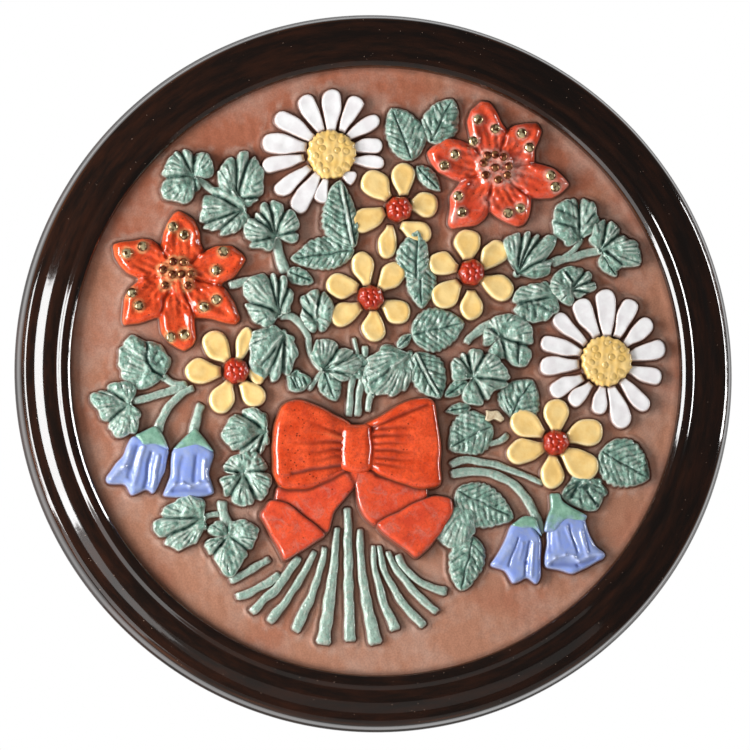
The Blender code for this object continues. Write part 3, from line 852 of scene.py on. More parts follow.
def specks(tree: Tree, place: Any, size_mm: float, share: float,
           reach: tuple[float, float] = (0.16, 0.34)) -> Any:
    """Scattered round specks.

    Args:
        tree: The material's tree.
        place: Socket with the place on the piece.
        size_mm: Spacing of the cells that may hold a speck (mm).
        share: Share of the cells that hold one.
        reach: Where a speck starts to fade and where it ends, in cells.

    Returns:
        Socket that is 1 on a speck and 0 off it.
    """
    cells = add_node(tree, "TexVoronoi", {"Vector": place, "Scale": 1.0 / (size_mm * MM)})
    dots = add_node(tree, "MapRange", {
        "Value": cells.outputs["Distance"], "From Min": reach[0], "From Max": reach[1],
        "To Min": 1.0, "To Max": 0.0})
    some = add_node(tree, "MapRange", {
        "Value": cells.outputs["Color"], "From Min": 1.0 - share, "From Max": 1.02 - share})
    return add_node(tree, "Math", {0: dots.outputs[0], 1: some.outputs[0]},
                    operation="MULTIPLY", use_clamp=True).outputs[0]


class Finish:
    """A surface finish: makes its material once and puts it on pieces."""

    name: str
    slot: Slot

    def paint(self, tree: Tree, shader: Node, place: Any) -> None:
        """Build the colour, gloss and fine surface of the material.

        Args:
            tree: The material's tree.
            shader: Its Principled shader.
            place: Socket with the place on the piece.
        """
        raise NotImplementedError

    def material(self) -> bpy.types.Material:
        """The material, made at first use."""
        found = bpy.data.materials.get(self.name)
        if found:
            return found
        made = bpy.data.materials.new(self.name)
        made.use_nodes = True
        tree = made.node_tree
        place = add_node(tree, "TexCoord").outputs["Object"]
        self.paint(tree, tree.nodes["Principled BSDF"], place)
        return made

    def dress(self, piece: Piece) -> None:
        """Give a finished piece this finish and its body."""
        piece.data.materials.clear()
        piece.data.materials.append(self.material())
        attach(piece, BODY)
        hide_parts(NODE)


@dataclass(frozen=True)
class Glaze(Finish):
    """Brushed stoneware glaze: deep where it pools, pale where it draws thin, glassy on top."""

    name: str
    slot: Slot
    coat: str
    second: str
    pooled: str
    broken: str
    mottle_mm: float = 9.0
    speck: str = "#4a3a20"
    speck_mm: float = 1.6
    speck_share: float = 0.0
    blush: str = ""
    grain: float = 0.0
    # Bare clay on the walls and smear; at a shape's foot partly painted contact shade.
    clay: str = "#6a4232"
    pool_strength: float = 1.0
    roughness: float = 0.16
    ripple_mm: float = 0.05

    # Size of the brush's streaks and of the fine dust (mm), and the gloss of a glass and of clay.
    BRUSH_MM = 1.8
    DUST_MM = 1.3
    IOR = 1.65
    CLAY_ROUGHNESS = 0.5

    def paint(self, tree: Tree, shader: Node, place: Any) -> None:
        """Cloudy coat, darker hollows, worn edges, specks, and a faint ripple under the gloss."""
        layers = [(patches(tree, place, self.mottle_mm, 0.38, 0.62), self.second)]
        if self.blush:
            blush = patches(tree, place, self.mottle_mm / 1.5, 0.5, 0.68, 0.6, 5.0, 0.7, 0.6)
            layers.append((blush, self.blush))
        if self.grain:
            dust = patches(tree, place, self.DUST_MM, 0.48, 0.72, self.grain, 4.0, 0.7)
            layers.append((dust, self.pooled))
        brush = add_node(tree, "TexNoise", {
            "Vector": place, "Scale": 1.0 / (self.BRUSH_MM * MM), "Detail": 3.0}).outputs[0]
        patchy = add_node(tree, "MapRange", {
            "Value": brush, "From Min": 0.3, "From Max": 0.6, "To Min": 0.35}).outputs[0]
        bare = marked(tree, "bare")
        # `pool` is pooled glaze; on the bow's slabs it also holds painted contact shade.
        layers += [(marked(tree, "pool", self.pool_strength), self.pooled),
                   (marked(tree, "thin", patchy), self.broken), (bare, self.clay)]
        if self.speck_share:
            layers.append((specks(tree, place, self.speck_mm, self.speck_share), self.speck))
        gloss = add_node(tree, "MapRange", {
            "Value": bare, "To Min": self.roughness, "To Max": self.CLAY_ROUGHNESS})
        ripple = add_node(tree, "Bump", {"Height": brush, "Distance": self.ripple_mm * MM,
                                         "Strength": 1.0})
        feed(tree, shader, {"Base Color": layered(tree, self.coat, layers), "IOR": self.IOR,
                            "Normal": ripple.outputs[0], "Roughness": gloss.outputs[0]})


@dataclass(frozen=True)
class BareClay(Finish):
    """Unglazed terracotta, sponged smooth: matt and grainy, washed brown round the relief, with
    painted shade there too.
    """

    name: str = "terracotta_bisque"
    slot: Slot = Slot.CLAY
    body: str = "#a9755c"
    # Warmer, darker clay: broad patches at random, and painted shade towards the top.
    warm_and_top_shade: str = "#a05e44"
    # Brown round the relief: an oxide wash, and painted shade by and among shapes and by the rim.
    wash_and_shade: str = "#5a3e32"
    pale: str = "#b59484"
    warm_mm: float = 42.0
    haze_mm: float = 24.0
    smear_mm: float = 7.0
    grain_mm: float = 0.9

    def paint(self, tree: Tree, shader: Node, place: Any) -> None:
        """Warm patches, and painted shade that darkens the clay towards the top; a brown wash with
        painted shade round the relief, pale rubbed spots and a fine grain.
        """
        broad = add_node(tree, "TexNoise", {
            "Vector": place, "Scale": 1.0 / (self.warm_mm * MM), "Detail": 4.0})
        # Painted shade: height on the plaque is added to the broad noise, so the clay darkens towards
        # the top.
        level = add_node(tree, "SeparateXYZ", {0: place}).outputs["Z"]
        lean = add_node(tree, "Math", {0: level, 1: 1.0, 2: broad.outputs[0]},
                        operation="MULTIPLY_ADD")
        warm_and_top_shade_mask = add_node(tree, "MapRange", {
            "Value": lean.outputs[0], "From Min": 0.4, "From Max": 0.66})
        haze = patches(tree, place, self.haze_mm, 0.45, 0.66, 0.55, 5.0)
        smear = add_node(tree, "TexNoise", {
            "Vector": place, "Scale": 1.0 / (self.smear_mm * MM), "Detail": 5.0,
            "Roughness": 0.65}).outputs[0]
        # How strongly the wash and painted shade lie, unevenly.
        wash_unevenness = add_node(tree, "MapRange", {
            "Value": smear, "From Min": 0.3, "From Max": 0.7, "To Min": 0.7, "To Max": 1.15})
        colour = layered(tree, self.body, (
            (warm_and_top_shade_mask.outputs[0], self.warm_and_top_shade), (haze, self.pale),
            (marked(tree, "thin", smear), self.pale),
            (marked(tree, "pool", wash_unevenness.outputs[0]), self.wash_and_shade)))
        grain = add_node(tree, "TexNoise", {
            "Vector": place, "Scale": 1.0 / (self.grain_mm * MM), "Detail": 3.0}).outputs[0]
        fleck = add_node(tree, "MapRange", {
            "Value": grain, "From Min": 0.35, "From Max": 0.65, "To Min": 0.86, "To Max": 1.1})
        flecked = add_node(tree, "Mix", {0: 1.0, 6: colour, 7: fleck.outputs[0]},
                           data_type="RGBA", blend_type="MULTIPLY")
        rough = add_node(tree, "Bump", {"Height": grain, "Distance": 0.12 * MM, "Strength": 0.35})
        feed(tree, shader, {"Base Color": flecked.outputs[2], "Normal": rough.outputs[0],
                            "Roughness": 0.5, "IOR": 1.55})


@dataclass(frozen=True)
class RimGlaze(Finish):
    """Iron-rich brown-black glaze on the thrown rim: deep, glassy, brown where it is thin."""

    name: str = "tenmoku_iron_glaze"
    slot: Slot = Slot.RIM
    deep: str = "#160d09"
    iron: str = "#2e170d"
    thin: str = "#432616"
    dust: str = "#8c7466"
    streak_mm: float = 5.0
    dust_mm: float = 2.4
    wave_mm: float = 9.0

    def paint(self, tree: Tree, shader: Node, place: Any) -> None:
        """Streaks that follow the throwing, brown sharp turns, fine dust and a liquid gloss."""
        split = add_node(tree, "SeparateXYZ", {0: place}).outputs
        flat = add_node(tree, "CombineXYZ", {"X": split["X"], "Y": split["Z"]}).outputs[0]
        reach = add_node(tree, "VectorMath", {0: flat}, operation="LENGTH").outputs["Value"]
        heading = add_node(tree, "VectorMath", {0: flat}, operation="NORMALIZE")
        slow = add_node(tree, "VectorMath", {0: heading.outputs[0], "Scale": 0.03},
                        operation="SCALE")
        parts = add_node(tree, "SeparateXYZ", {0: slow.outputs[0]}).outputs
        turned = add_node(tree, "CombineXYZ", {"X": parts["X"], "Y": parts["Y"], "Z": reach})
        colour = layered(tree, self.deep, (
            (patches(tree, turned.outputs[0], self.streak_mm, 0.42, 0.7, 1.0, 8.0, 0.7), self.iron),
            (marked(tree, "thin"), self.thin),
            (specks(tree, place, self.dust_mm, 0.3, (0.07, 0.12)), self.dust)))
        skin = add_node(tree, "TexNoise", {"Vector": place, "Scale": 1.0 / (self.wave_mm * MM)})
        wave = add_node(tree, "Bump", {"Height": skin.outputs[0], "Distance": 0.16 * MM,
                                       "Strength": 0.35})
        feed(tree, shader, {"Base Color": colour, "Normal": wave.outputs[0],
                            "Roughness": 0.08, "IOR": 1.6})


@dataclass(frozen=True)
class Lustre(Finish):
    """Metallic lustre fired over glaze: brown-gold beads that mirror the room."""

    name: str = "bronze_lustre"
    slot: Slot = Slot.LUSTRE
    gold: str = "#e2cfa0"
    brown: str = "#5e3e24"
    patch_mm: float = 2.2

    def paint(self, tree: Tree, shader: Node, place: Any) -> None:
        """Patches of gold and brown under one bright skin."""
        brown = patches(tree, place, self.patch_mm, 0.42, 0.58, 1.0, 3.0, 0.5)
        feed(tree, shader, {"Base Color": layered(tree, self.gold, ((brown, self.brown),)),
                            "Metallic": 0.6, "Roughness": 0.12})


# Celadon-like copper green: grey-green, dark in every cut, milky on the ridges, pink-brown in places.
LEAF_GLAZE = Glaze("copper_green_glaze", Slot.LEAF, "#93b4a4", "#6a9080", "#2f4a42", "#d8dcd2",
                   mottle_mm=3.6, blush="#b0a094", grain=0.55, roughness=0.1, ripple_mm=0.8)
# Tin white: opaque and even, with the clay showing pink-brown along the cut edges.
WHITE_GLAZE = Glaze("tin_white_glaze", Slot.WHITE, "#f0efef", "#e6e2e3", "#b79a8e", "#c8a595",
                    mottle_mm=7.0, roughness=0.2, ripple_mm=0.03, pool_strength=0.8)
# Antimony yellow: buttery, a little darker where it lies thick.
YELLOW_GLAZE = Glaze("antimony_yellow_glaze", Slot.YELLOW, "#f1d08c", "#ebc276", "#b98a4a", "#f4e0b0",
                     mottle_mm=8.0, roughness=0.14, ripple_mm=0.12, pool_strength=0.8)
# Selenium red: bright orange-red, olive-brown where it is thick, yellowish at its thin edges.
RED_GLAZE = Glaze("selenium_red_glaze", Slot.RED, "#ee5a30", "#d2441e", "#702412", "#d8a06c",
                  mottle_mm=7.0, blush="#b04430", grain=0.5, speck="#742a14", speck_mm=1.8,
                  speck_share=0.22, roughness=0.12, ripple_mm=0.16)
# The same red brushed thin: pinker, with greyish patches where the clay comes through; on the
# bow's tails the pink patches are also a painted pinkish reflection.
THIN_RED_GLAZE = Glaze("thin_selenium_red_glaze", Slot.RED, "#e85632", "#ce462c", "#6a2a1c", "#deac9c",
                       mottle_mm=11.0, blush="#c07a6c", grain=0.4, speck="#742a14", speck_mm=1.8,
                       speck_share=0.15, roughness=0.1, ripple_mm=0.16)
# The same red lying thick on the flower centres.
EYE_GLAZE = Glaze("deep_red_glaze", Slot.RED, "#c83c1e", "#a42814", "#5a140c", "#d8603a",
                  mottle_mm=4.0, grain=0.4, roughness=0.07, ripple_mm=0.35)
# Cobalt blue in a soft white base: violet-blue, greyer where it is thin.
BLUE_GLAZE = Glaze("cobalt_blue_glaze", Slot.BLUE, "#8297d8", "#8e9ecb", "#5c6cab", "#c4cde8",
                   mottle_mm=6.0, blush="#9aa5c4", roughness=0.12, ripple_mm=0.12, pool_strength=0.7)
# The daisies' yellow: opaque, peppered with olive where the little balls break through.
DISC_GLAZE = Glaze("speckled_yellow_glaze", Slot.YELLOW, "#f0cd88", "#eac06e", "#9c8240", "#c9a85a",
                   mottle_mm=4.0, roughness=0.2, speck="#8d7440", speck_mm=3.0, speck_share=0.3)
# A cream crumb that fell on the glaze in the kiln.
CRUMB_GLAZE = Glaze("kiln_crumb_cream", Slot.WHITE, "#d6c8a8", "#c0aa88", "#8a6a50", "#e2d8c0",
                    mottle_mm=2.0, grain=0.4, roughness=0.4, ripple_mm=0.2)
# Green running over blue where the calyx meets the cup.
CALYX_GLAZE = Glaze("green_over_blue_glaze", Slot.LEAF, "#8ab29c", "#719b86", "#4f7a68", "#92a2d0",
                    mottle_mm=3.5, grain=0.3, roughness=0.12, ripple_mm=0.3)
BARE_CLAY = BareClay()
RIM_GLAZE = RimGlaze()
LUSTRE = Lustre()
# The same lustre over red: maroon-brown.
HEART_LUSTRE = Lustre("copper_lustre", gold="#a8744c", brown="#6b2c1c")


# --------------------------------------------------------------------------- kinds of flower

DAISY_SHAPE = PetalShape(0.42, 0.7, 3.2)
YELLOW_SHAPE = PetalShape(0.34, 0.58, 2.2)


@dataclass(frozen=True)
class Flower:
    """A flower: its middle, the radius of its centre and its petals."""

    name: str
    middle: Point
    radius: float
    petals: tuple[Petal, ...]


@dataclass(frozen=True)
class RedForm:
    """A lily-like flower: its petals clockwise from notch to notch, its balls and its worn spots."""

    name: str
    middle: Point
    petals: tuple[tuple[Point, ...], ...]
    petal_balls: tuple[Point, ...]
    heart_balls: tuple[Point, ...]
    worn: tuple[Point, ...] = ()


@dataclass(frozen=True)
class Fold:
    """A turn in a ribbon: the clay to the right of the way from start to end lies lower (mm)."""

    start: Point
    end: Point
    drop: float
    blend: float

    def depth(self, x: Array, z: Array) -> Array:
        """How much lower the clay lies at each place (mm)."""
        dx, dz = self.end[0] - self.start[0], self.end[1] - self.start[1]
        right = ((x - self.start[0]) * dz - (z - self.start[1]) * dx) / math.hypot(dx, dz)
        return self.drop * ease(-self.blend / 2, self.blend / 2, right)


@dataclass(frozen=True)
class Slab:
    """A slab with its height over the field in the middle, its slope and what is worked into it.

    `worn` is how thin the glaze lies along its edge, and `drip` how far in from its lower edge the
    glaze thins out over what lies under it (mm); `foot_pool_and_shade` is how dark its foot is
    painted, for glaze run there and for painted contact shade.
    """

    form: Form
    level: float
    slope: Point = (0.0, 0.0)
    corner: float = 4.0
    edge: float = 2.0
    worn: float = 0.2
    drip: float = 0.0
    foot_pool_and_shade: float = 0.0
    creases: tuple[Crease, ...] = ()
    folds: tuple[Fold, ...] = ()
    inner: int = 26

    EDGE_RINGS = (1.0, 0.78, 0.56, 0.38, 0.22, 0.1, 0.0)

    def model(self, clay: ClayMesh, over: Sequence[Array] = ()) -> None:
        """Model the slab.

        Args:
            clay: The piece that takes the shell.
            over: Outlines of the slabs that lie on it, where glaze gathers and contact shade is
                painted.
        """
        band = [share * self.edge for share in self.EDGE_RINGS]
        plan = self.form.plan(self.corner, self.inner, band)
        x, z, edge = plan.x, plan.z, plan.edge()
        height = RISE.field + self.level + 0.2 * wander(x, z, 17, 41)
        height += self.slope[0] * (x - self.form.middle[0]) + self.slope[1] * (z - self.form.middle[1])
        # Pooled glaze and painted contact shade: darker along its own foot and under slabs that lie on
        # it.
        pool, thin = self.foot_pool_and_shade * (1 - ease(0.2, 1.3, edge)), self.worn * (1 - ease(0.1, 0.9, edge))
        for outline in over:
            gap = distance_to_loop(x, z, outline)
            height -= 0.4 * line_mark(gap, 1.6)
            pool += 0.95 * line_mark(gap, 1.3)
        if self.drip:
            low = ease(1, 6, self.form.middle[1] - z + 1.5 * wander(x, z, 5, 42))
            thin = np.maximum(thin, low * (1 - ease(0.2, self.drip, edge)))
        inside = ease(0, 1.6, edge)
        for fold in self.folds:
            height -= fold.depth(x, z)
        for crease in self.creases:
            mark = crease.mark(x, z) * inside
            height -= crease.depth * mark
            if crease.depth > 0:
                pool += min(1.0, crease.depth) * 0.9 * mark
            else:
                thin -= crease.depth * 0.45 * mark
        height -= edge_drop(edge, self.edge)
        clay.add(plan, np.maximum(height, RISE.field - 0.5), pool, thin)


# --------------------------------------------------------------------------- the thrown plaque


@dataclass(frozen=True)
class Turned:
    """Something thrown on the wheel: its section, spun round the middle of the plaque."""

    name: str
    section: tuple[Point, ...]
    steps: int

    def spin(self) -> Piece:
        """Extrude the section point by point and spin it into a closed body.

        Returns:
            The object, shaded smooth.
        """
        clean_slate()
        first = self.section[0]
        bpy.ops.mesh.primitive_plane_add(size=MM, location=(0.0, 0.0, 0.0))
        piece = bpy.context.object
        piece.name = self.name
        bpy.ops.object.mode_set(mode="EDIT")
        bpy.ops.mesh.select_all(action="SELECT")
        bpy.ops.mesh.merge(type="CENTER")
        bpy.ops.transform.translate(value=(first[0] * MM, -first[1] * MM, 0.0))
        for before, here in zip(self.section, self.section[1:]):
            way = ((here[0] - before[0]) * MM, -(here[1] - before[1]) * MM, 0.0)
            bpy.ops.mesh.extrude_region_move(TRANSFORM_OT_translate={"value": way})
        bpy.ops.mesh.select_all(action="SELECT")
        bpy.ops.mesh.spin(steps=self.steps, angle=math.tau, center=(0.0, 0.0, 0.0),
                          axis=(0.0, 1.0, 0.0))
        bpy.ops.mesh.select_all(action="SELECT")
        bpy.ops.mesh.remove_doubles(threshold=0.01 * MM)
        bpy.ops.mesh.normals_make_consistent(inside=False)
        bpy.ops.mesh.faces_shade_smooth()
        bpy.ops.object.mode_set(mode="OBJECT")
        piece.data.name = self.name
        return piece


@dataclass(frozen=True)
class ThrownRim:
    """The moulded border: a thrown shoulder rising to a crest, a groove and a bead, in dark glaze."""

    radius: float
    steps: int = 288

    # Inset from the outer radius, height: back edge, side, sharp edge, shelf, shoulder and crest.
    SHOULDER = ((3.0, 0.0), (0.9, 0.6), (0.0, 2.3), (0.5, 3.2), (1.1, 4.2), (1.4, 6.0), (1.8, 8.6),
                (2.1, 10.8), (2.4, 12.2), (2.7, 13.1), (3.0, 13.72), (3.3, 14.1), (3.6, 14.35),
                (4.0, 14.67), (4.4, 14.99), (4.8, 15.31), (5.1, 15.53), (5.4, 15.7), (5.8, 15.86),
                (6.6, 16.1), (7.6, 16.38), (9.0, 16.8), (9.8, 17.05), (11.0, 17.65), (12.6, 18.6),
                (14.0, 19.4), (15.2, 20.0), (16.6, 20.5), (18.0, 20.82), (19.4, 20.9), (20.6, 20.75))
    # Inset and height of the groove, of the bead's outer and inner shoulders and of its fall inwards.
    GROOVE = (21.9, 20.5)
    BEAD = (25.7, 22.45)
    FALL = ((26.4, 22.5), (27.0, 22.46), (27.6, 22.34), (28.1, 22.16), (28.5, 21.95), (28.75, 21.79),
            (29.0, 21.6), (29.3, 21.36), (29.6, 21.12), (29.9, 20.88), (30.15, 20.68), (30.4, 20.45),
            (30.65, 20.18), (30.9, 19.85), (31.15, 19.4), (31.35, 18.8), (31.5, 17.5), (31.6, 15.0),
            (31.9, 13.0), (31.9, 1.0), (18.0, 0.4))
    # Inset at which the glaze lies thin, and the half width of that band.
    BROKEN = ((3.6, 0.5), (31.0, 0.4))

    def _section(self) -> tuple[Point, ...]:
        """Closed section of the border as (radius, height)."""
        (low, floor), (top, crest) = self.GROOVE, self.BEAD
        rise = [(place, floor + (crest - floor) * (1 - math.cos(math.pi * share)) / 2)
                for place, share in zip(np.linspace(low, top, 9), np.linspace(0, 1, 9))]
        ring = [*self.SHOULDER, *rise, *self.FALL, self.SHOULDER[0]]
        return tuple((self.radius - place, level) for place, level in ring)

    def build(self) -> None:
        """Throw the border and glaze it."""
        piece = Turned("rim", self._section(), self.steps).spin()
        points = np.empty(len(piece.data.vertices) * 3)
        piece.data.vertices.foreach_get("co", points)
        points = points.reshape(-1, 3) / MM
        inset = self.radius - np.hypot(points[:, 0], points[:, 2])
        thin = sum(line_mark(inset - place, width) for place, width in self.BROKEN)
        thin *= 0.55 + 0.45 * wander(points[:, 0], points[:, 2], 60, 51)
        layer = piece.data.attributes.new("thin", "FLOAT", "POINT")
        layer.data.foreach_set("value", np.clip(thin, 0, 1).astype(np.float32))
        RIM_GLAZE.dress(piece)


@dataclass(frozen=True)
class TurnedBack:
    """The flat unglazed back, with the faint rings that the turning tool left."""

    radius: float
    steps: int = 160
    ring: float = 6.0
    depth: float = 0.12

    def build(self) -> None:
        """Turn the back."""
        radii = np.linspace(self.radius - 1.5, 0, 64)
        face = [(radius, 0.15 + self.depth * math.cos(math.tau * radius / self.ring))
                for radius in radii]
        section = [(0.0, 3.0), (self.radius - 0.5, 3.0), (self.radius, 2.0), (self.radius, 0.8), *face]
        BARE_CLAY.dress(Turned("turned_back", tuple(section), self.steps).spin())


@dataclass(frozen=True)
class ClayField:
    """The sponged clay ground inside the border, pushed up a little round every pressed-on shape."""

    radius: float
    cells: int = 284

    def build(self, outlines: Sequence[Array]) -> None:
        """Lay the ground and work it round the relief.

        Args:
            outlines: The outlines of everything pressed on to it.
        """
        side = np.linspace(-1, 1, self.cells + 1)
        across, up = np.meshgrid(-side, side)
        wide = np.abs(across) >= np.abs(up)
        reach = np.where(wide, across, up)
        safe = np.where(reach == 0, 1, reach)
        slant = math.pi / 4 * np.where(wide, up, across) / safe
        angle = np.where(wide, slant, math.pi / 2 - slant)
        plan = Plan(self.radius * reach * np.cos(angle), self.radius * reach * np.sin(angle),
                    Patch.STRIP)
        x, z = plan.x, plan.z
        spots = np.concatenate([resample(outline, 0.7) for outline in outlines])
        tree = kdtree.KDTree(len(spots))
        for number, spot in enumerate(spots):
            tree.insert((spot[0], spot[1], 0.0), number)
        tree.balance()
        flat = zip(x.ravel(), z.ravel())
        gap = np.array([tree.find((a, b, 0.0))[2] for a, b in flat]).reshape(x.shape)
        border = self.radius - np.hypot(x, z)
        ridge = np.clip(0.65 + wander(x, z, 24, 61), 0.15, 1)
        halo = line_mark(gap - 2, 0.8) * ridge
        height = RISE.field + 0.22 * wander(x, z, 60, 62) + 0.07 * wander(x, z, 8, 63)
        height += 0.95 * halo - 0.35 * line_mark(gap, 1) + 0.4 * (1 - ease(2, 6, border))
        # Brown wash and painted shade: darker by every shape, among crowded shapes and by the rim.
        wash_and_shade = 0.08 * np.exp(-gap / 6.0) + 0.95 * np.exp(-gap / 0.8)
        wash_and_shade += 0.24 * self._crowding(spots, x, z) + 0.5 * (1 - ease(2, 5, border))
        clay = ClayMesh()
        rubbed = 0.9 * line_mark(gap - 3.6, 2) * ease(0, 0.5, wander(x, z, 9, 64))
        clay.add(plan, height, wash_and_shade, 1.2 * halo + rubbed, foot=4.0)
        BARE_CLAY.dress(clay.finish("clay_field"))

    def _crowding(self, spots: Array, x: Array, z: Array) -> Array:
        """How closely shapes crowd round each place: 0 in the open, 1 in the midst of the bunch.

        Args:
            spots: Points along every outline (mm).
            x: Places across (mm).
            z: Places up (mm).

        Returns:
            The crowding, in the shape of x.
        """
        cell, reach = 2.5, self.radius + 20.0
        edges = np.arange(-reach, reach + cell, cell)
        count = np.histogram2d(spots[:, 0], spots[:, 1], bins=(edges, edges))[0]
        kernel = np.exp(-((np.arange(-8, 9) * cell / 7.0) ** 2))
        kernel /= kernel.sum()
        for _ in range(2):
            count = np.apply_along_axis(np.convolve, 0, count, kernel, mode="same").T
        column = np.clip(((x + reach) / cell).astype(int), 0, count.shape[0] - 1)
        row = np.clip(((z + reach) / cell).astype(int), 0, count.shape[1] - 1)
        return ease(0.3, 1.6, count[column, row])


# --------------------------------------------------------------------------- the bunch


class Relief:
    """A pressed-on part of the bunch; it keeps the outlines that the ground is worked round."""

    def __init__(self, name: str, finish: Finish) -> None:
        """Start an empty piece with this name and finish."""
        self.name = name
        self.finish = finish
        self.clay = ClayMesh()

    def done(self) -> list[Array]:
        """Make the object and dress it.

        Returns:
            The outlines of its shells.
        """
        self.finish.dress(self.clay.finish(self.name))
        return self.clay.outlines


@dataclass(frozen=True)
class Foliage:
    """Leaves that grow together, lobed and bladed."""

    name: str
    fans: Sequence[Fan]
    blades: Sequence[Blade] = ()

    def build(self) -> list[Array]:
        """Model and glaze the leaves, and return their outlines."""
        piece = Relief(self.name, LEAF_GLAZE)
        for leaf in (*self.fans, *self.blades):
            leaf.model(piece.clay)
        return piece.done()


@dataclass(frozen=True)
class StemBundle:
    """Stems that run side by side."""

    name: str
    stems: Sequence[Stem]
    step: float = 0.18

    def build(self) -> list[Array]:
        """Model and glaze the stems, and return their outlines."""
        piece = Relief(self.name, LEAF_GLAZE)
        for index, stem in enumerate(self.stems):
            stem.model(piece.clay, RISE.stem + self.step * (index % 3))
        return piece.done()


@dataclass(frozen=True)
class DaisyHead:
    """A daisy: cut white petals round a yellow pad set with small balls of clay."""

    flower: Flower
    points: int = 23
    nub_radius: float = 1.7

    PETAL_GRID = (25, 19)
    EDGE_POINTS = 162
    RINGS = 30
    BAND = (2.6, 2.0, 1.4, 0.9, 0.45, 0.15, 0.0)
    # Where the balls sit, from the middle of the pad.
    NUBS = ((-6.6, 6.9), (0.5, 9.7), (5.4, 8.3), (9.4, 6.9), (-4.9, 3.1), (3.3, 2.0), (8.6, 1.6),
            (-8.9, -1.0), (-1.0, -2.4), (-3.4, -9.4), (3.6, -9.2), (7.9, -6.7), (-7.4, -6.4))

    def build(self) -> list[Array]:
        """Model and glaze the daisy, and return its outlines."""
        return self._petals() + self._pad()

    def _petals(self) -> list[Array]:
        """Flat petals with softly rounded edges, each at its own height."""
        piece = Relief(f"{self.flower.name}_petals", WHITE_GLAZE)
        for index, petal in enumerate(self.flower.petals):
            plan, t, w = petal.plan(DAISY_SHAPE, *self.PETAL_GRID)
            edge = plan.edge()
            height = RISE.field + RISE.daisy + 0.22 * (index % 3)
            height = height - 0.35 * (1 - w * w) * np.sin(3 * t)
            height -= edge_drop(edge, 1.2) + 0.4 * (1 - ease(0, 0.3, t))
            height += 0.1 * wander(plan.x, plan.z, 8, 81)
            piece.clay.add(plan, height, np.zeros_like(t), 0.9 * (1 - ease(0.1, 0.75, edge)))
        return piece.done()

    def _pad(self) -> list[Array]:
        """Pinched pad with small balls pressed into it."""
        piece = Relief(f"{self.flower.name}_centre", DISC_GLAZE)
        angle = np.linspace(0, math.tau, self.EDGE_POINTS, endpoint=False)
        pinch = 2 * np.sin(3 * angle)
        radius = self.flower.radius * (0.985 + 0.02 * np.cos(self.points * angle + pinch))
        slow = 0.025 * np.sin(3 * angle + 1.0)
        radius *= 1.0 + slow + 0.02 * np.sin(13 * angle + 2 * np.sin(2 * angle))
        outline = outline_round(self.flower.middle, angle, radius)
        plan = round_plan(outline, self.flower.middle, self.RINGS, self.BAND)
        edge = plan.edge()
        x, z = plan.x - self.flower.middle[0], plan.z - self.flower.middle[1]
        height = RISE.field + RISE.disc + 0.9 * np.sqrt(np.clip(edge / self.flower.radius, 0, 1))
        height += 0.15 * wander(x, z, 5, 82) - edge_drop(edge, 2)
        nubs, olive = np.zeros_like(x), np.zeros_like(x)
        for place in self.NUBS:
            gap = np.hypot(x - place[0], z - place[1])
            nubs = np.maximum(nubs, np.sqrt(np.clip(1 - (gap / self.nub_radius) ** 2, 0, 1)))
            ring = line_mark(gap - self.nub_radius - 0.2, 0.45)
            height -= 0.15 * ring
            olive = np.maximum(olive, ring)
        height += 0.4 * nubs
        pool = 0.3 * nubs + 0.6 * olive * ease(-0.4, 0.6, wander(x, z, 6, 87))
        piece.clay.add(plan, height, pool, 0.5 * (1 - ease(0, 1, edge)))
        return piece.done()


@dataclass(frozen=True)
class YellowFlower:
    """A flower of six rolled pads of clay round a berry-like red eye."""

    flower: Flower

    PETAL_GRID = (22, 19)
    EDGE_POINTS = 96
    RINGS = 16
    BAND = (1.6, 1.1, 0.7, 0.35, 0.12, 0.0)
    # Balls round the eye, with one more in its middle, and their radius.
    BALLS = 7
    BALL_RADIUS = 1.9

    def build(self) -> list[Array]:
        """Model and glaze the flower, and return its outlines."""
        return self._petals() + self._eye()

    def _petals(self) -> list[Array]:
        """Domed petals."""
        piece = Relief(f"{self.flower.name}_petals", YELLOW_GLAZE)
        for index, petal in enumerate(self.flower.petals):
            plan, t, w = petal.plan(YELLOW_SHAPE, *self.PETAL_GRID)
            edge = plan.edge()
            height = RISE.field + RISE.yellow - 0.7 + 0.15 * (index % 3) - edge_drop(edge, 2.2)
            height -= 0.35 * ease(1.5, 4, edge) + 0.22 * wander(plan.x, plan.z, 9, 83)
            piece.clay.add(plan, height, np.zeros_like(t), 1.0 - ease(0.3, 1.6, edge))
        return piece.done()

    def _eye(self) -> list[Array]:
        """Domed eye, rough with small balls."""
        piece = Relief(f"{self.flower.name}_eye", EYE_GLAZE)
        angle = np.linspace(0, math.tau, self.EDGE_POINTS, endpoint=False)
        wave = 1.0 + 0.035 * np.sin(self.BALLS * angle + self.flower.middle[0]) - 0.03
        outline = outline_round(self.flower.middle, angle, self.flower.radius * wave)
        plan = round_plan(outline, self.flower.middle, self.RINGS, self.BAND)
        edge = plan.edge()
        x, z = plan.x - self.flower.middle[0], plan.z - self.flower.middle[1]
        height = RISE.field + RISE.eye - 0.75 * edge_drop(edge, 5.2) - 0.25 * edge_drop(edge, 1)
        turn = self.flower.middle[0] * 0.3
        for step in range(self.BALLS + 1):
            ring = 0.0 if step == self.BALLS else 0.58 * self.flower.radius
            way = turn + step * math.tau / self.BALLS
            gap = np.hypot(x - ring * math.cos(way), z - ring * math.sin(way))
            height += 0.8 * np.sqrt(np.clip(1 - (gap / self.BALL_RADIUS) ** 2, 0, 1))
        piece.clay.add(plan, height, 0.5 * (1 - ease(0, 2.5, edge)), np.zeros_like(x))
        return piece.done()


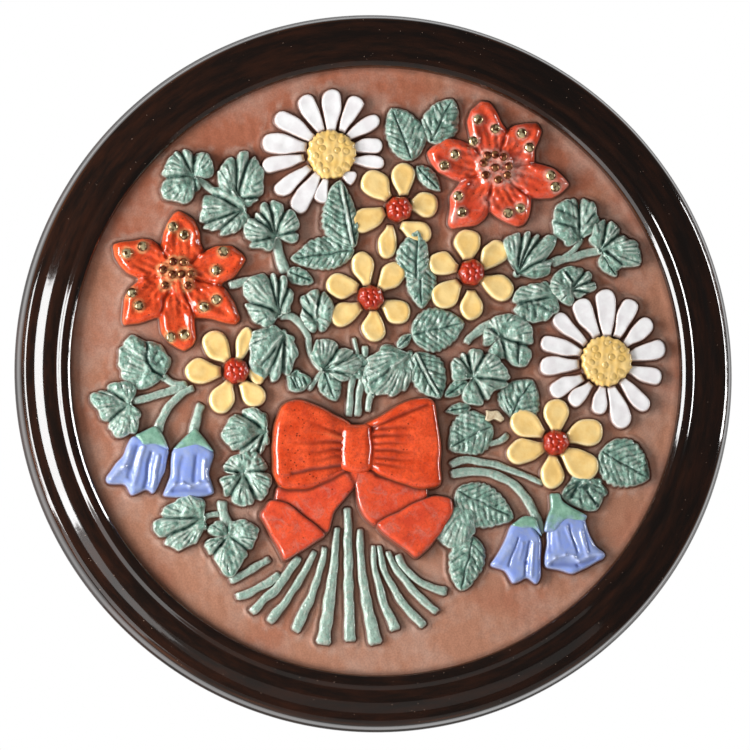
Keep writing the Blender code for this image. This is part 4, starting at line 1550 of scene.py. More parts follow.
@dataclass(frozen=True)
class Ball:
    """A small ball of clay pressed on and fired with lustre."""

    radius: float
    squash: float = 0.72

    def model(self) -> Piece:
        """One ball at the origin: a sphere, pressed flatter along Y."""
        clean_slate()
        bpy.ops.mesh.primitive_uv_sphere_add(segments=20, ring_count=12, radius=self.radius * MM)
        piece = bpy.context.object
        bpy.ops.object.mode_set(mode="EDIT")
        bpy.ops.mesh.select_all(action="SELECT")
        bpy.ops.transform.rotate(value=math.pi / 2, orient_axis="X", center_override=(0.0, 0.0, 0.0))
        bpy.ops.transform.resize(value=(1.0, self.squash, 1.0), center_override=(0.0, 0.0, 0.0))
        bpy.ops.mesh.faces_shade_smooth()
        bpy.ops.object.mode_set(mode="OBJECT")
        return piece


@dataclass(frozen=True)
class RedFlower:
    """A lily-like flower: six fluted petals that grow out of one heart, and lustred balls."""

    form: RedForm
    glaze: Glaze
    heart_radius: float = 10.6

    PETAL_BALL_RADIUS = 2.95
    HEART_BALL_RADIUS = 2.4
    RINGS = 28
    BAND = (4.2, 3.4, 2.7, 2.0, 1.4, 0.9, 0.5, 0.2, 0.0)

    def build(self) -> list[Array]:
        """Model and glaze the flower, and return its outlines."""
        middle = self.form.middle
        corners = [corner for petal in self.form.petals for corner in petal]
        plan = round_plan(soften(corners, 1.4), middle, self.RINGS, self.BAND)
        x, z, edge = plan.x, plan.z, plan.edge()
        reach = np.hypot(x - middle[0], z - middle[1])
        height = RISE.field + RISE.red - 1.2 + 1.6 * ease(13, 30, reach)
        height -= 0.9 * edge_drop(edge, 4.4)
        height += 0.8 * line_mark(edge - 3.6, 1.8) + 0.3 * wander(x, z, 11, 84)
        height -= 0.12 * wander(x, z, 4, 86) * ease(2, 5, edge)
        pool = np.zeros_like(x)
        flutes = ease(self.heart_radius, self.heart_radius + 2, reach)
        flutes = flutes * (1 - ease(18, 27, reach))
        for petal in self.form.petals:
            tip = max(petal, key=lambda corner: math.dist(corner, middle))
            along, way = self._along(tip, x, z)
            near = along > 0.62
            height -= np.where(near, 0.9 * line_mark(way, 3) * ease(14, 22, reach), 0)
            wave = np.cos(way * 1.55 + tip[0]) * flutes * near
            height += 0.24 * wave
            pool += 0.22 * np.clip(-wave, 0, 1)
            notch = petal[0]
            share = self.heart_radius / math.dist(notch, middle)
            start = tuple(m + (n - m) * share for m, n in zip(middle, notch))
            seam = Crease(start, notch, 2, 1.1).mark(x, z)
            height -= 1.8 * seam
            pool += 0.4 * seam
        heart = 1 - ease(self.heart_radius - 1.4, self.heart_radius + 1.2, reach)
        height += heart * (1.5 + 0.45 * wander(x, z, 4.2, 85))
        thin = 0.25 * (1 - ease(0.1, 1, edge))
        for ball in (*self.form.petal_balls, *self.form.heart_balls):
            gap = np.hypot(x - ball[0], z - ball[1])
            thin = thin + 0.8 * line_mark(gap - 3.1, 0.8)
        for spot in self.form.worn:
            thin = thin + 0.6 * line_mark(np.hypot(x - spot[0], z - spot[1]), 3.6)
        thin = thin + 0.5 * heart * ease(0.1, 0.5, wander(x, z, 3, 87))
        piece = Relief(f"{self.form.name}_petals", self.glaze)
        piece.clay.add(plan, height, pool, thin)
        self._set_balls(piece, "petal", self.PETAL_BALL_RADIUS, self.form.petal_balls, LUSTRE)
        self._set_balls(piece, "heart", self.HEART_BALL_RADIUS, self.form.heart_balls, HEART_LUSTRE)
        return piece.done()

    def _along(self, tip: Point, x: Array, z: Array) -> tuple[Array, Array]:
        """Cosine of the turn away from a petal's axis, and distance off that axis (mm)."""
        dx, dz = tip[0] - self.form.middle[0], tip[1] - self.form.middle[1]
        length = math.hypot(dx, dz)
        across, up = x - self.form.middle[0], z - self.form.middle[1]
        reach = np.maximum(np.hypot(across, up), 0.1)
        return (across * dx + up * dz) / length / reach, (up * dx - across * dz) / length

    def _set_balls(self, under: Relief, where: str, radius: float, places: Sequence[Point],
                   finish: Finish) -> None:
        """Press balls on, each sunk a little into the clay under it.

        Args:
            under: The piece they sit on.
            where: Part of the flower, for the name.
            radius: Their radius (mm).
            places: Their middles.
            finish: Their lustre.
        """
        model = Ball(radius).model()
        copies = []
        for place in places:
            copy = model.copy()
            copy.data = model.data.copy()
            height = under.clay.height_at(place) + 0.12 * radius
            copy.data.transform(Matrix.Translation(Vector((place[0], -height, place[1])) * MM))
            bpy.context.scene.collection.objects.link(copy)
            copies.append(copy)
        bpy.data.objects.remove(model, do_unlink=True)
        clean_slate()
        for copy in copies:
            copy.select_set(True)
        bpy.context.view_layer.objects.active = copies[0]
        bpy.ops.object.join()
        copies[0].name = f"{self.form.name}_{where}_balls"
        finish.dress(copies[0])


@dataclass(frozen=True)
class Chip:
    """A slab on its own under one glaze."""

    name: str
    glaze: Glaze
    slab: Slab

    def build(self) -> list[Array]:
        """Model and glaze the slab, and return its outline."""
        piece = Relief(self.name, self.glaze)
        self.slab.model(piece.clay)
        return piece.done()


@dataclass(frozen=True)
class Bellflower:
    """A bellflower seen from the side: a fluted cup hanging from a green calyx."""

    name: str
    cup: Slab
    calyx: Slab

    def build(self) -> list[Array]:
        """Model and glaze the flower, and return its outlines."""
        cup = Chip(f"{self.name}_cup", BLUE_GLAZE, self.cup)
        return cup.build() + Chip(f"{self.name}_calyx", CALYX_GLAZE, self.calyx).build()


@dataclass(frozen=True)
class RibbonBow:
    """The bow that ties the bunch: two tails, two loops and the knot over them."""

    parts: tuple[tuple[str, Glaze, tuple[Slab, ...]], ...]

    def build(self) -> list[Array]:
        """Model and glaze the bow, and return its outlines."""
        outlines, over = [], []
        for name, glaze, slabs in reversed(self.parts):
            piece = Relief(name, glaze)
            for slab in reversed(slabs):
                slab.model(piece.clay, over)
                over += piece.clay.outlines[-1:] if slab.foot_pool_and_shade else []
            outlines += piece.done()
        return outlines


# --------------------------------------------------------------------------- setting


@dataclass(frozen=True)
class Softbox:
    """A rectangular diffused lamp aimed at the plaque.

    `off_axis` is the angle from the camera's line of sight, and `turn` the way it is moved round
    that line, counterclockwise from the right as the camera sees it (degrees). Lengths in metres.
    A lamp that is not `mirrored` is screened off so that the gloss does not show it.
    """

    name: str
    off_axis: float
    turn: float
    distance: float
    width: float
    height: float
    power: float
    mirrored: bool = True

    def place(self, view: "Viewpoint") -> None:
        """Set the lamp up round this viewpoint's line of sight."""
        tilt, turn = math.radians(self.off_axis), math.radians(self.turn)
        aside = view.right() * math.cos(turn) + view.up() * math.sin(turn)
        spot = (view.towards() * math.cos(tilt) + aside * math.sin(tilt)) * self.distance
        clean_slate()
        bpy.ops.object.light_add(type="AREA", location=spot)
        lamp = bpy.context.object
        lamp.name = self.name
        lamp.rotation_euler = spot.to_track_quat("Z", "Y").to_euler()
        lamp.data.shape = "RECTANGLE"
        lamp.data.size, lamp.data.size_y = self.width, self.height
        lamp.data.energy = self.power
        lamp.visible_glossy = self.mirrored


@dataclass(frozen=True)
class Viewpoint:
    """Where the camera stands: angles off the plaque's own axis (degrees), distance and width (m)."""

    left: float = 5.17
    below: float = 5.15
    distance: float = 12.0
    width: float = 0.427
    aim: Point = (1.0, -0.8)

    SENSOR_MM = 36.0

    def towards(self) -> Vector:
        """Unit direction from the plaque to the camera."""
        left, below = math.radians(self.left), math.radians(self.below)
        return Vector((-math.sin(left) * math.cos(below), -math.cos(left) * math.cos(below),
                       -math.sin(below)))

    def right(self) -> Vector:
        """Unit direction to the right in the picture."""
        return self.towards().cross(Vector((0.0, 0.0, 1.0))).normalized() * -1.0

    def up(self) -> Vector:
        """Unit direction up in the picture."""
        return self.towards().cross(self.right()).normalized()

    def place(self) -> None:
        """Set the camera up and make it the scene's."""
        aim = (self.right() * self.aim[0] + self.up() * self.aim[1]) * MM
        clean_slate()
        bpy.ops.object.camera_add(location=aim + self.towards() * self.distance)
        camera = bpy.context.object
        camera.name = "camera"
        camera.rotation_euler = self.towards().to_track_quat("Z", "Y").to_euler()
        camera.data.sensor_width = self.SENSOR_MM
        camera.data.lens = self.SENSOR_MM * self.distance / self.width
        camera.data.clip_end = 40.0
        bpy.context.scene.camera = camera


@dataclass(frozen=True)
class Studio:
    """The room: pale floor under the plaque, bright wall behind it, dim room behind the camera."""

    floor_level: float = -3.4
    wall: float = 1.0
    room: float = 0.08

    def build(self) -> None:
        """Build the floor, the world, the lamps and the camera."""
        clean_slate()
        bpy.ops.mesh.primitive_plane_add(size=8.0, location=(0.0, 0.0, self.floor_level))
        floor = bpy.context.object
        floor.name = "floor"
        paint = bpy.data.materials.new("pale_floor_paint")
        paint.use_nodes = True
        shader = paint.node_tree.nodes["Principled BSDF"]
        feed(paint.node_tree, shader, {"Base Color": linear("#e4e2de"), "Roughness": 0.8})
        floor.data.materials.append(paint)
        self._world()
        view = Viewpoint()
        view.place()
        for lamp in LAMPS:
            lamp.place(view)
        bpy.context.scene.view_settings.view_transform = "Standard"

    def _world(self) -> None:
        """Light from all round: white from behind the plaque, dim from the room before it."""
        world = bpy.data.worlds.new("studio")
        bpy.context.scene.world = world
        world.use_nodes = True
        tree = world.node_tree
        way = add_node(tree, "TexCoord").outputs["Generated"]
        parts = add_node(tree, "SeparateXYZ", {0: way})
        back = add_node(tree, "MapRange", {
            "Value": parts.outputs["Y"], "From Min": 0.08, "From Max": 0.4,
            "To Min": self.room, "To Max": self.wall})
        feed(tree, tree.nodes["Background"], {"Color": linear("#ffffff"),
                                              "Strength": back.outputs[0]})


LAMPS = (
    Softbox("key_softbox", 56.0, 178.0, 1.6, 0.65, 1.15, 40.0),
    Softbox("left_bounce", 56.0, 215.0, 1.6, 0.7, 0.9, 3.8),
    Softbox("right_strip", 88.0, 13.0, 1.6, 0.1, 1.05, 11.0),
    Softbox("front_fill", 22.0, 262.0, 2.4, 2.0, 2.0, 21.0, False),
)


# --------------------------------------------------------------------------- tables of the bunch

DAISIES = (
    Flower("daisy_top", (-25.7, 123.3), 14, (
        Petal((-25.7, 136), (-25.2, 160.7), 10.9), Petal((-19.6, 136.6), (-10.4, 156.5), 9.4),
        Petal((-16.5, 133.2), (1.4, 144.4), 8.6), Petal((-14.6, 127.6), (3.2, 129), 8.8),
        Petal((-14.2, 120.6), (4.8, 118.6), 7.6), Petal((-19, 112.4), (-12, 108.8), 7.6),
        Petal((-28.6, 109.5), (-32.4, 95.8), 8), Petal((-33, 112.6), (-46.6, 90.2), 10.6),
        Petal((-38, 116), (-57, 100.8), 9.2), Petal((-41, 121.6), (-64.8, 115.8), 8.8),
        Petal((-39.6, 127.4), (-64.8, 130), 11.8), Petal((-36, 132.2), (-57.2, 145.6), 10.8),
        Petal((-31, 136), (-42, 156.8), 10.2))),
    Flower("daisy_right", (131.4, 6.6), 14.4, (
        Petal((132.2, 20.6), (131, 47.6), 11), Petal((137.2, 20.4), (146.6, 41.8), 10),
        Petal((141.6, 15.6), (157.4, 29.8), 9.4), Petal((143.6, 8.8), (165.2, 14.8), 10.8),
        Petal((143.4, 2.4), (162.8, -3.4), 9.4), Petal((140, -4), (155, -20.8), 9.4),
        Petal((134.6, -7.6), (141.8, -31.2), 11.2), Petal((129.6, -7.6), (126.4, -23.6), 8.6),
        Petal((122.8, -6.4), (111.2, -17.8), 8.8), Petal((118, -2.4), (99.8, -11.8), 9.8),
        Petal((116.2, 4.6), (93.8, 3.2), 10.6), Petal((117.4, 11), (94.2, 17.6), 10),
        Petal((119.8, 16.4), (101.8, 32.6), 8.8), Petal((126, 20.2), (115.2, 41.4), 10.8))),
)

YELLOWS = (
    Flower("yellow_flower_top", (13, 92.4), 7.6, (
        Petal((7.4, 98.6), (-6.4, 112.6), 15.2), Petal((15.8, 100.4), (15.2, 118.8), 13.6),
        Petal((19.6, 95.2), (35.2, 95.2), 14.8), Petal((14.6, 83.2), (31.2, 77), 12.4),
        Petal((8, 83.6), (5.8, 64.4), 11), Petal((5, 91.2), (-13.8, 82.4), 13.6))),
    Flower("yellow_flower_right", (54.6, 56.6), 7.6, (
        Petal((52.6, 64.2), (52.2, 81.2), 15.6), Petal((60.6, 60), (73.2, 73.6), 14.2),
        Petal((60.4, 53), (78, 44.4), 14.6), Petal((54.6, 46.6), (54.6, 29.4), 13),
        Petal((47.6, 51), (34, 38.2), 15.2), Petal((46.8, 59), (30.6, 63.4), 13.8))),
    Flower("yellow_flower_middle", (-3, 41.8), 7.6, (
        Petal((-10, 46.6), (-28.4, 49.8), 14.2), Petal((-5.4, 49), (-9, 67.9), 12.8),
        Petal((3, 46.6), (14.4, 61), 13.6), Petal((4, 38.6), (18.8, 30.4), 13.8),
        Petal((-1.8, 34.2), (-0.6, 16.8), 13.6), Petal((-9, 37.2), (-25.4, 28.6), 13.4))),
    Flower("yellow_flower_left", (-79.8, -0.8), 7.6, (
        Petal((-84.2, 4.6), (-96.6, 20.8), 14.6), Petal((-78.6, 5.6), (-72.4, 24.4), 8.8),
        Petal((-73, 0.2), (-64.4, -6.8), 7), Petal((-76.6, -7.4), (-64.8, -19.2), 13.2),
        Petal((-83.6, -6.4), (-90.6, -24.6), 13.6), Petal((-88.6, -1), (-108.8, -1.2), 14.6))),
    Flower("yellow_flower_low", (102.4, -40.4), 7.6, (
        Petal((102.6, -33.6), (103.4, -15.2), 14.4), Petal((108.6, -37.4), (129.6, -31.6), 15.4),
        Petal((107, -45), (125.4, -58.6), 16.8), Petal((101, -47.6), (100.6, -66.2), 13.8),
        Petal((96, -42.6), (74.6, -47.4), 14.4), Petal((95.6, -35.6), (77, -24.6), 14.8))),
)

REDS = (
    RedForm("red_flower_left", (-113.8, 54.4), (
        ((-123, 70), (-121.6, 77.2), (-118.4, 84.5), (-115.6, 89.1), (-112.4, 90.9),
        (-103.7, 84.9), (-100, 78.1), (-100.5, 72.6)),
        ((-98.2, 67.6), (-90.8, 70.8), (-82.6, 70.8), (-76.2, 66.7), (-73.9, 63.5), (-76.2, 58.9),
        (-81.7, 52.6), (-87.2, 49.4)),
        ((-88.1, 47.5), (-85.3, 45.3), (-80.8, 38), (-77.5, 28.8), (-79.8, 25.6), (-86.3, 27),
        (-94.5, 28.4), (-100, 29.3)),
        ((-103.2, 29.7), (-102.8, 22.4), (-102.6, 17.9), (-104.6, 13.3), (-109.2, 10.6),
        (-113.8, 12.4), (-118.4, 15.1), (-122.5, 20.6), (-123.4, 26.1)),
        ((-123.9, 29.3), (-128.5, 27.9), (-135.8, 26.1), (-143.6, 24.7), (-144.8, 27),
        (-144.1, 34.3), (-143.6, 40.7), (-140.4, 46.2), (-136.3, 49.4)),
        ((-135.4, 51.6), (-141.4, 54.4), (-145.9, 58.9), (-149.2, 64.4), (-150.5, 70.8),
        (-142.3, 73.1), (-134, 74.5), (-127.6, 73.5))),
        ((-116.3, 80.7), (-109.8, 76.3), (-133.7, 69.4), (-142.4, 65.5), (-139.8, 43),
        (-135.5, 35.7), (-117.7, 17.9), (-109.8, 19.6), (-98.5, 35.3), (-91.6, 39.6),
        (-87.7, 66.8), (-91.6, 56.3)),
        ((-122, 56.3), (-116.3, 61), (-110.3, 60.7), (-106, 54), (-107.7, 47.4), (-120.7, 47.4),
        (-116.6, 53.6), (-111.4, 53.9))),
    RedForm("red_flower_right", (67.6, 116.4), (
        ((54.2, 130.2), (53.7, 134), (52.1, 142.8), (54.7, 149.9), (59.8, 154.9), (64.9, 153.9),
        (69, 148.9), (72, 142.8)),
        ((75.1, 138.2), (79.2, 140.8), (86.3, 142.6), (92.4, 142.3), (95, 138.2), (93.5, 132.7),
        (90.4, 126.6)),
        ((90.6, 119.8), (95.5, 118.5), (101.6, 116.5), (106.7, 112.4), (110.8, 107.4),
        (106.7, 103.3), (100.6, 99.8), (93.5, 98.8)),
        ((88.2, 99.6), (88.4, 94.2), (87.9, 89.2), (85.3, 84.6), (81.2, 83.1), (75.1, 85.1),
        (69, 88.6)),
        ((64.2, 91.8), (62.4, 87.1), (57.8, 84.1), (50.6, 82.6), (43.5, 81.6), (41.4, 84.1),
        (41.9, 91.2), (41.9, 99.3), (44.5, 104)),
        ((49, 108.6), (42.4, 110.4), (35.3, 113.4), (30.7, 119.5), (29.2, 124.6), (33.3, 129.6),
        (40.4, 132.7), (47.6, 132.2))),
        ((58, 143.7), (67.7, 138.5), (82.9, 136), (87.2, 128), (99.4, 112), (102, 105.5),
        (82, 93.3), (75, 90.3), (46.5, 99.8), (48.7, 90.7), (44.8, 123.7), (38.5, 117.2),
        (55.5, 131.6)),
        ((63.3, 123.3), (67.7, 123.7), (72.4, 122.4), (75.5, 117.2), (74.6, 112), (69.4, 109.4),
        (62, 112), (61, 119), (67.4, 116.2)),
        ((107.4, 108.6), (79.6, 114), (81, 119.4), (77.6, 109.6), (63, 97), (44.4, 88.6))),
)

UPPER_LEFT = Foliage("leaves_upper_left", (
    Fan((-104.6, 110.6), 20, 282, (12.4, 14.6, 13.4, 16.8, 17, 17.6, 21, 17.2, 11.4),
        (87, 117, 187, 283), (60, 42, 134, 150, 165, 215, 232, 250)),
    Fan((-79.6, 97.4), -17, 146, (9.4, 14.6, 17.8, 23.6, 28.4, 24.6, 19.4, 12.4),
        (91, 73, 5), (57, 36, 22, 108, 122, 137)),
    Fan((-75.9, 91.1), 100, 297, (7.4, 15.2, 23.2, 23.6, 26.6, 20.4, 14.4, 9.2, 6.8),
        (153, 200, 222), (118, 170, 178, 187, 212, 240, 258)),
    Fan((-57.5, 76.5), 2, 231, (13.6, 15.6, 17.4, 21, 17.8, 19, 16.6, 10.4),
        (70, 11, 102, 124, 139, 195), (30, 45, 155, 168, 180, 210))), (
    Blade((-13.2, 70.4), (-20.8, 108.6), 14.6, 5.8, 1.2, True),
    Blade((-12.4, 68.8), (-48.4, 63.4), 8.8, 10.4)))
MIDDLE_LEFT = Foliage("leaves_middle_left", (
    Fan((-55.5, 32), 30, 215, (7.4, 14.4, 22, 25, 27, 20.4, 16.4, 12),
        (106, 92, 72, 158), (50, 125, 135, 144, 175, 188, 202)),
    Fan((-34.5, 28.5), -55, 260, (8, 8, 9.8, 14.4, 18.6, 15.6, 9.2, 7.4, 6.4, 7.4),
        (80, 136), (60, 40, 110, 160, 190, 235, -30), (
        Crease((-34.5, 30.1), (-33.9, 35.9), -1.2, 0.8),
        Crease((-33.9, 35.9), (-38, 42.2), -1.2, 0.8, 0.3),
        Crease((-32.2, 29.5), (-27.6, 26.9), -0.9, 0.7))),
    Fan((-52.5, 21), 160, 321, (9.2, 18.8, 22.6, 28.6, 29.8, 24.2, 15.6, 7.2),
        (251, 267), (182, 192, 202, 212, 285, 300), (
        Crease((-53.6, 20), (-59.7, 13.4), -1.4, 0.8),
        Crease((-59.7, 13.4), (-66.4, 3), -0.9, 0.7, 0.5),
        Crease((-57.7, 12.7), (-65.2, 2), 1.2, 0.7, 0.2),
        Crease((-53.3, 15.4), (-50.3, 11.7), 0.9, 0.6)), 1.4),
    Fan((-30, 0), -12, 122, (17.4, 22.4, 20.2, 17, 18, 18, 12.4),
        (54, 26, -10), (98, 89, 77, 66, 40, 8, 17)),
    Fan((-45, -1.5), 214, 318, (7, 11, 11.4, 9.6), (), (), (
        Crease((-48.4, -4.5), (-45.4, -10.4), 1.1, 0.5),
        Crease((-46.4, -4.5), (-43.8, -10.4), 0.9, 0.5), Crease((-44, -4.1), (-42, -9), 0.9, 0.5),
        Crease((-41.6, -4), (-39.8, -8.6), 0.8, 0.5))),
    Fan((-121, -4.5), 80, 196, (12.6, 18.8, 22.8, 30.2, 30.2, 27.2, 24.2, 18),
        (), (143, 158, 172, 186), (
        *crease_chain(1.8, 0.8, (-121.2, -4), (-127.4, -0.9), (-131.1, 4.6), (-130.7, 15.6)),
        Crease((-128, 5.3), (-124.3, 10.8), 0.9, 0.6),
        Crease((-126.1, 2.2), (-121.8, 6.5), 0.9, 0.6))),
    Fan((-141, -20.4), 85, 308, (12.4, 14.4, 16.4, 22.4, 18.4, 17.4, 19.8, 16.8, 10.2),
        (146, 220), (114, 98, 158, 172, 190, 204, 238, 257, 272, 290))), (
    Blade((-30, -1), (-22.6, -17.4), 7, 6), Blade((-50.6, 56.6), (-35.6, 50.4), 4.8, 5.2)))
MIDDLE_RIGHT = Foliage("leaves_middle_right", (
    Fan((19, 9.5), 172, 280, (17.6, 25.4, 29.6, 31.4, 26.4, 21.4, 12.4),
        (), (229, 236, 243, 250, 258, 267, 275, 181, 190, 200, 208), (
        Crease((17.8, 8.7), (8.9, 1.3), -1.2, 0.8), Crease((8.9, 1.3), (-2.3, -7.3), 1.3, 0.7, 0.2))),
    Fan((55, -3), -95, 175, (16.6, 17.2, 15.2, 22.2, 19.2, 17.2, 15.6, 15.4, 14.4, 11.6),
        (124, 105, 61, -7, -62), (140, 85, 48, 38, 28, 18, 6, -30, -45)),
    Fan((103, 43.5), 140, 262, (11.4, 17.4, 23.6, 26.4, 25.4, 20.8, 15.6, 10.2),
        (192,), (150, 160, 172, 180), (
        Crease((88.4, 40), (91.2, 31), 1.3, 0.7), Crease((92.4, 38.4), (100.5, 34.3), 1.6, 0.8),
        Crease((82.6, 40.7), (84.9, 31), 0.9, 0.5),
        Crease((85.6, 39.5), (87.4, 30.3), 1.1, 0.6)), 0.8),
    Fan((112, 47), -31, 254, (6.8, 14.2, 14.8, 13.4, 13.8, 13.4, 9.8, 9.2),
        (57, 28, -10), (80, 150, 165, 178, 200, 225, 12, 42), (
        *crease_chain(-1.1, 0.7, (106.9, 57.1), (111.2, 50.5), (111.5, 43.3)),
        Crease((108.5, 57.1), (112.2, 51.3), 1.5, 0.7))),
    Fan((70.5, 20), -120, 204, (11.4, 12.8, 22.8, 19.4, 19.4, 14.8, 12.2, 10.8, 9.4, 10.4),
        (136, -18, -72), (60, 46, 25, 8, 82, 100, 118, 165, 190), (
        Crease((80.7, 16.7), (81.4, 4.6), 1.6, 0.8), Crease((69, 19.6), (73.4, 11), -1.1, 0.8)))), (
    Blade((20.4, 20.6), (50.4, 27.8), 12.6, 12.2),
    Blade((22.4, 10), (36.4, -15.8), 11.2, 9.4, 0.6, True), Blade((52, -6), (39, -14.4), 4, 4.4),
    Blade((12, 13.6), (20.6, 21.4), 3, 3), Blade((54, -20.6), (39.4, -22.8), 3, 3.6),
    Blade((66.8, -30.4), (41.4, -43.8), 10.8, 14.4),
    Blade((76.2, -26), (89.2, -4.2), 12.4, 12.2, -0.9), Blade((-27, 1), (2.4, 3), 8, 7, -0.5),
    Blade((-6.4, -1), (-1.2, -15.6), 4.2, 4, -0.4)))
UPPER_RIGHT = Foliage("leaves_upper_right", (
    Fan((80.5, 56), 8, 100, (18.8, 22.8, 30.6, 26.6, 24.8, 22.6),
        (83, 68, 58, 28), (103, 96, 90, 40, 15)),
    Fan((116.5, 76), 52, 188, (16.4, 23.8, 23.8, 24.4, 19.2, 15.8, 9.4), (91,), (75, 62, 104), (
        Crease((102.5, 85.4), (115, 82), 1.3, 0.8), Crease((103.6, 93.4), (114.5, 88.3), 1, 0.7),
        Crease((109, 98.6), (114.5, 94.6), 1.1, 0.7),
        Crease((124.7, 90.4), (118.5, 82.6), 0.9, 0.6))),
    Fan((128, 70), -40, 122, (15.8, 25, 22.6, 17.2, 17.4, 18.8, 15.8, 9.4),
        (39, 75), (95, 60, 50, 30, 22, 13, 5, -3, -18), (
        Crease((131.5, 69.3), (140.6, 62.1), 1.8, 0.8),))), (
    Blade((20.6, 120.4), (8.8, 150.6), 9.2, 13.8), Blade((31, 130.6), (43.8, 156), 10.4, 10.6),
    Blade((23, 117), (37, 103), 5, 4.4), Blade((22.4, 51), (23.4, 80.6), 11.4, 7.8, 1.4),
    Blade((24, 62), (26.2, 36.2), 9.6, 7.4, 0.5), Blade((129, 68), (137.4, 55.2), 5.6, 5.2)))
LOWER_LEFT = Foliage("leaves_lower_left", (
    Fan((-98.5, -84.8), 105, 272, (12.2, 15.8, 18.4, 23.2, 29.6, 26.8, 23.8, 15.4, 7.4),
        (208, 179), (125, 145, 162, 192, 220, 229, 238, 248, 260)),
    Fan((-75.5, -58.5), -157, 173, (14.2, 17.6, 19.4, 19.2, 17.2, 14.2, 13.6, 13.2, 10.8, 11.6, 12.8),
        (-66, -120, 174, 3), (-143, -160, 156, 140, 100, 60, 30, -18, -34, -50, -82, -98), (
        Crease((-73.6, -53), (-73, -60), -1, 0.8),)),
    Fan((-63.5, -35), 95, 277, (10.4, 15.4, 18.4, 21.8, 24.8, 22.2, 18.4, 14.4, 8.6),
        (143, 216, 250), (112, 125, 155, 165, 178, 190, 203, 232, 264)),
    Fan((-84.2, -94.3), -152, 168, (14.8, 16.6, 24.4, 16.4, 15.6, 17.8, 13.8, 7.8, 7.8, 11.2, 12.8),
        (-39, -127, 100), (-161, -145, -105, -90, -75, -60, 35, 10, -10, -25, 60, 150))))
LOWER_RIGHT = Foliage("leaves_lower_right", (
    Fan((127, -62), 176, 292, (15.4, 22, 19.4, 17, 9.4), (), (), (
        Crease((116.1, -62.9), (111.8, -71.5), 2, 1),
        Crease((116.6, -64.8), (116.9, -74.6), 1.2, 0.7),
        Crease((117.7, -64.5), (127.6, -76.8), 1.8, 0.8),
        Crease((114.6, -62.4), (107, -66.6), 1.2, 0.6), Crease((115, -63), (108.4, -70.2), 1.2, 0.6),
        Crease((119.9, -64), (129, -66.1), 1, 0.5),
        Crease((119.4, -65), (128.5, -69.4), 1, 0.6)), -1.4),
    Fan((50.5, -76), 212, 306, (10.4, 24.4, 26.2, 25.2, 18.2, 11.4),
        (), (225, 236, 246, 256, 266, 280))), (
    Blade((128, -44.6), (156.2, -60.4), 14.2, 13.6), Blade((45.8, -68), (78.6, -83.4), 10.6, 14),
    Blade((55.6, -94), (48.2, -125), 9.8, 10.6)))

TIED_STEMS = StemBundle("tied_stems", (
    Stem((-60.7, -107.4), (-72, -114.4), (-83.3, -120.4), 4, 4.4),
    Stem((-54.6, -116.5), (-66, -123.8), (-79.2, -129.8), 4.2, 4.6),
    Stem((-44.3, -106.5), (-54.8, -121.6), (-71, -138), 4.6, 5),
    Stem((-34.8, -103), (-46.6, -124.6), (-60.6, -143.4), 3.6, 5),
    Stem((-29, -100.4), (-34.8, -123), (-46.2, -148.4), 3.4, 6.4),
    Stem((-22.2, -89.6), (-24.6, -116), (-30, -156), 3.4, 8.4),
    Stem((-16, -78.3), (-15.6, -116), (-14.6, -154.4), 4.6, 6.8),
    Stem((-8.7, -90.4), (-7.2, -119.6), (0.2, -156), 3.8, 7.6),
    Stem((-1.7, -99.6), (1.4, -121.6), (11.2, -147.8), 2.8, 6),
    Stem((1.7, -99.6), (9.4, -123), (27.4, -145.2), 3.6, 5.2),
    Stem((7, -102.6), (16.8, -119.8), (35, -137.6), 3.6, 4.2),
    Stem((12.6, -104.3), (22, -118), (40.4, -125.4), 3.8, 4.6),
    Stem((-12.4, 19), (-11.4, 13.6), (-10.4, 8), 2.4, 2.6),
    Stem((-6.4, 14.6), (-6.2, 11), (-6, 7), 3.6, 3.4),
    Stem((-13.2, -3), (-14.6, -15), (-15.6, -26.2), 3.6, 4.4),
    Stem((-8.4, -4), (-9.6, -15), (-10.4, -26), 3.6, 4.6),
    Stem((-2.4, -8), (-3.4, -15.6), (-4.6, -23.4), 3.6, 3.6)))
SPRAY_STEMS = StemBundle("spray_stems", (
    Stem((42.6, -53.4), (62, -51.4), (95.4, -63.4), 4.6, 3),
    Stem((42.6, -58.6), (76, -62.4), (94.4, -92), 4.8, 5.4),
    Stem((-104, -10.2), (-117.4, -20.4), (-124.4, -36), 4, 5.4),
    Stem((-99, -19.4), (-102.2, -27), (-104, -38), 4.4, 6.4),
    Stem((-108, -8), (-121, -13.6), (-138.6, -18.2), 5, 4),
    Stem((-108.6, -7.6), (-115, -8), (-121.4, -3.4), 3.6, 4),
    Stem((-84, 48.2), (-78.6, 49.8), (-70.6, 51.4), 5, 4.4),
    Stem((-57.4, 76), (-55, 66), (-51.6, 55.6), 5.4, 6.4),
    Stem((-55, 31), (-45.6, 29), (-38.4, 18), 5.4, 3.6),
    Stem((-38.4, 20), (-37, 9), (-31, 0.6), 3.6, 3.6),
    Stem((-30.6, -1), (-34.4, -5), (-38.4, -11.4), 3.2, 3),
    Stem((51.4, 15.8), (57, 22), (67.6, 28.4), 4.4, 5.4),
    Stem((75.4, -35.6), (70.4, -39.6), (64, -41.4), 3.4, 3.6),
    Stem((100.6, 62.6), (114, 66.4), (129, 70.4), 5, 4),
    Stem((106, 64), (112.4, 69.6), (117, 76.4), 3.4, 3.4),
    Stem((-98.4, -84.4), (-94, -82.6), (-88.4, -82.4), 3, 3),
    Stem((-87.6, -74.6), (-86.6, -82), (-83.6, -92), 5.4, 6.2),
    Stem((-104.6, 110), (-97, 105.4), (-88, 99), 4.4, 4.4)))

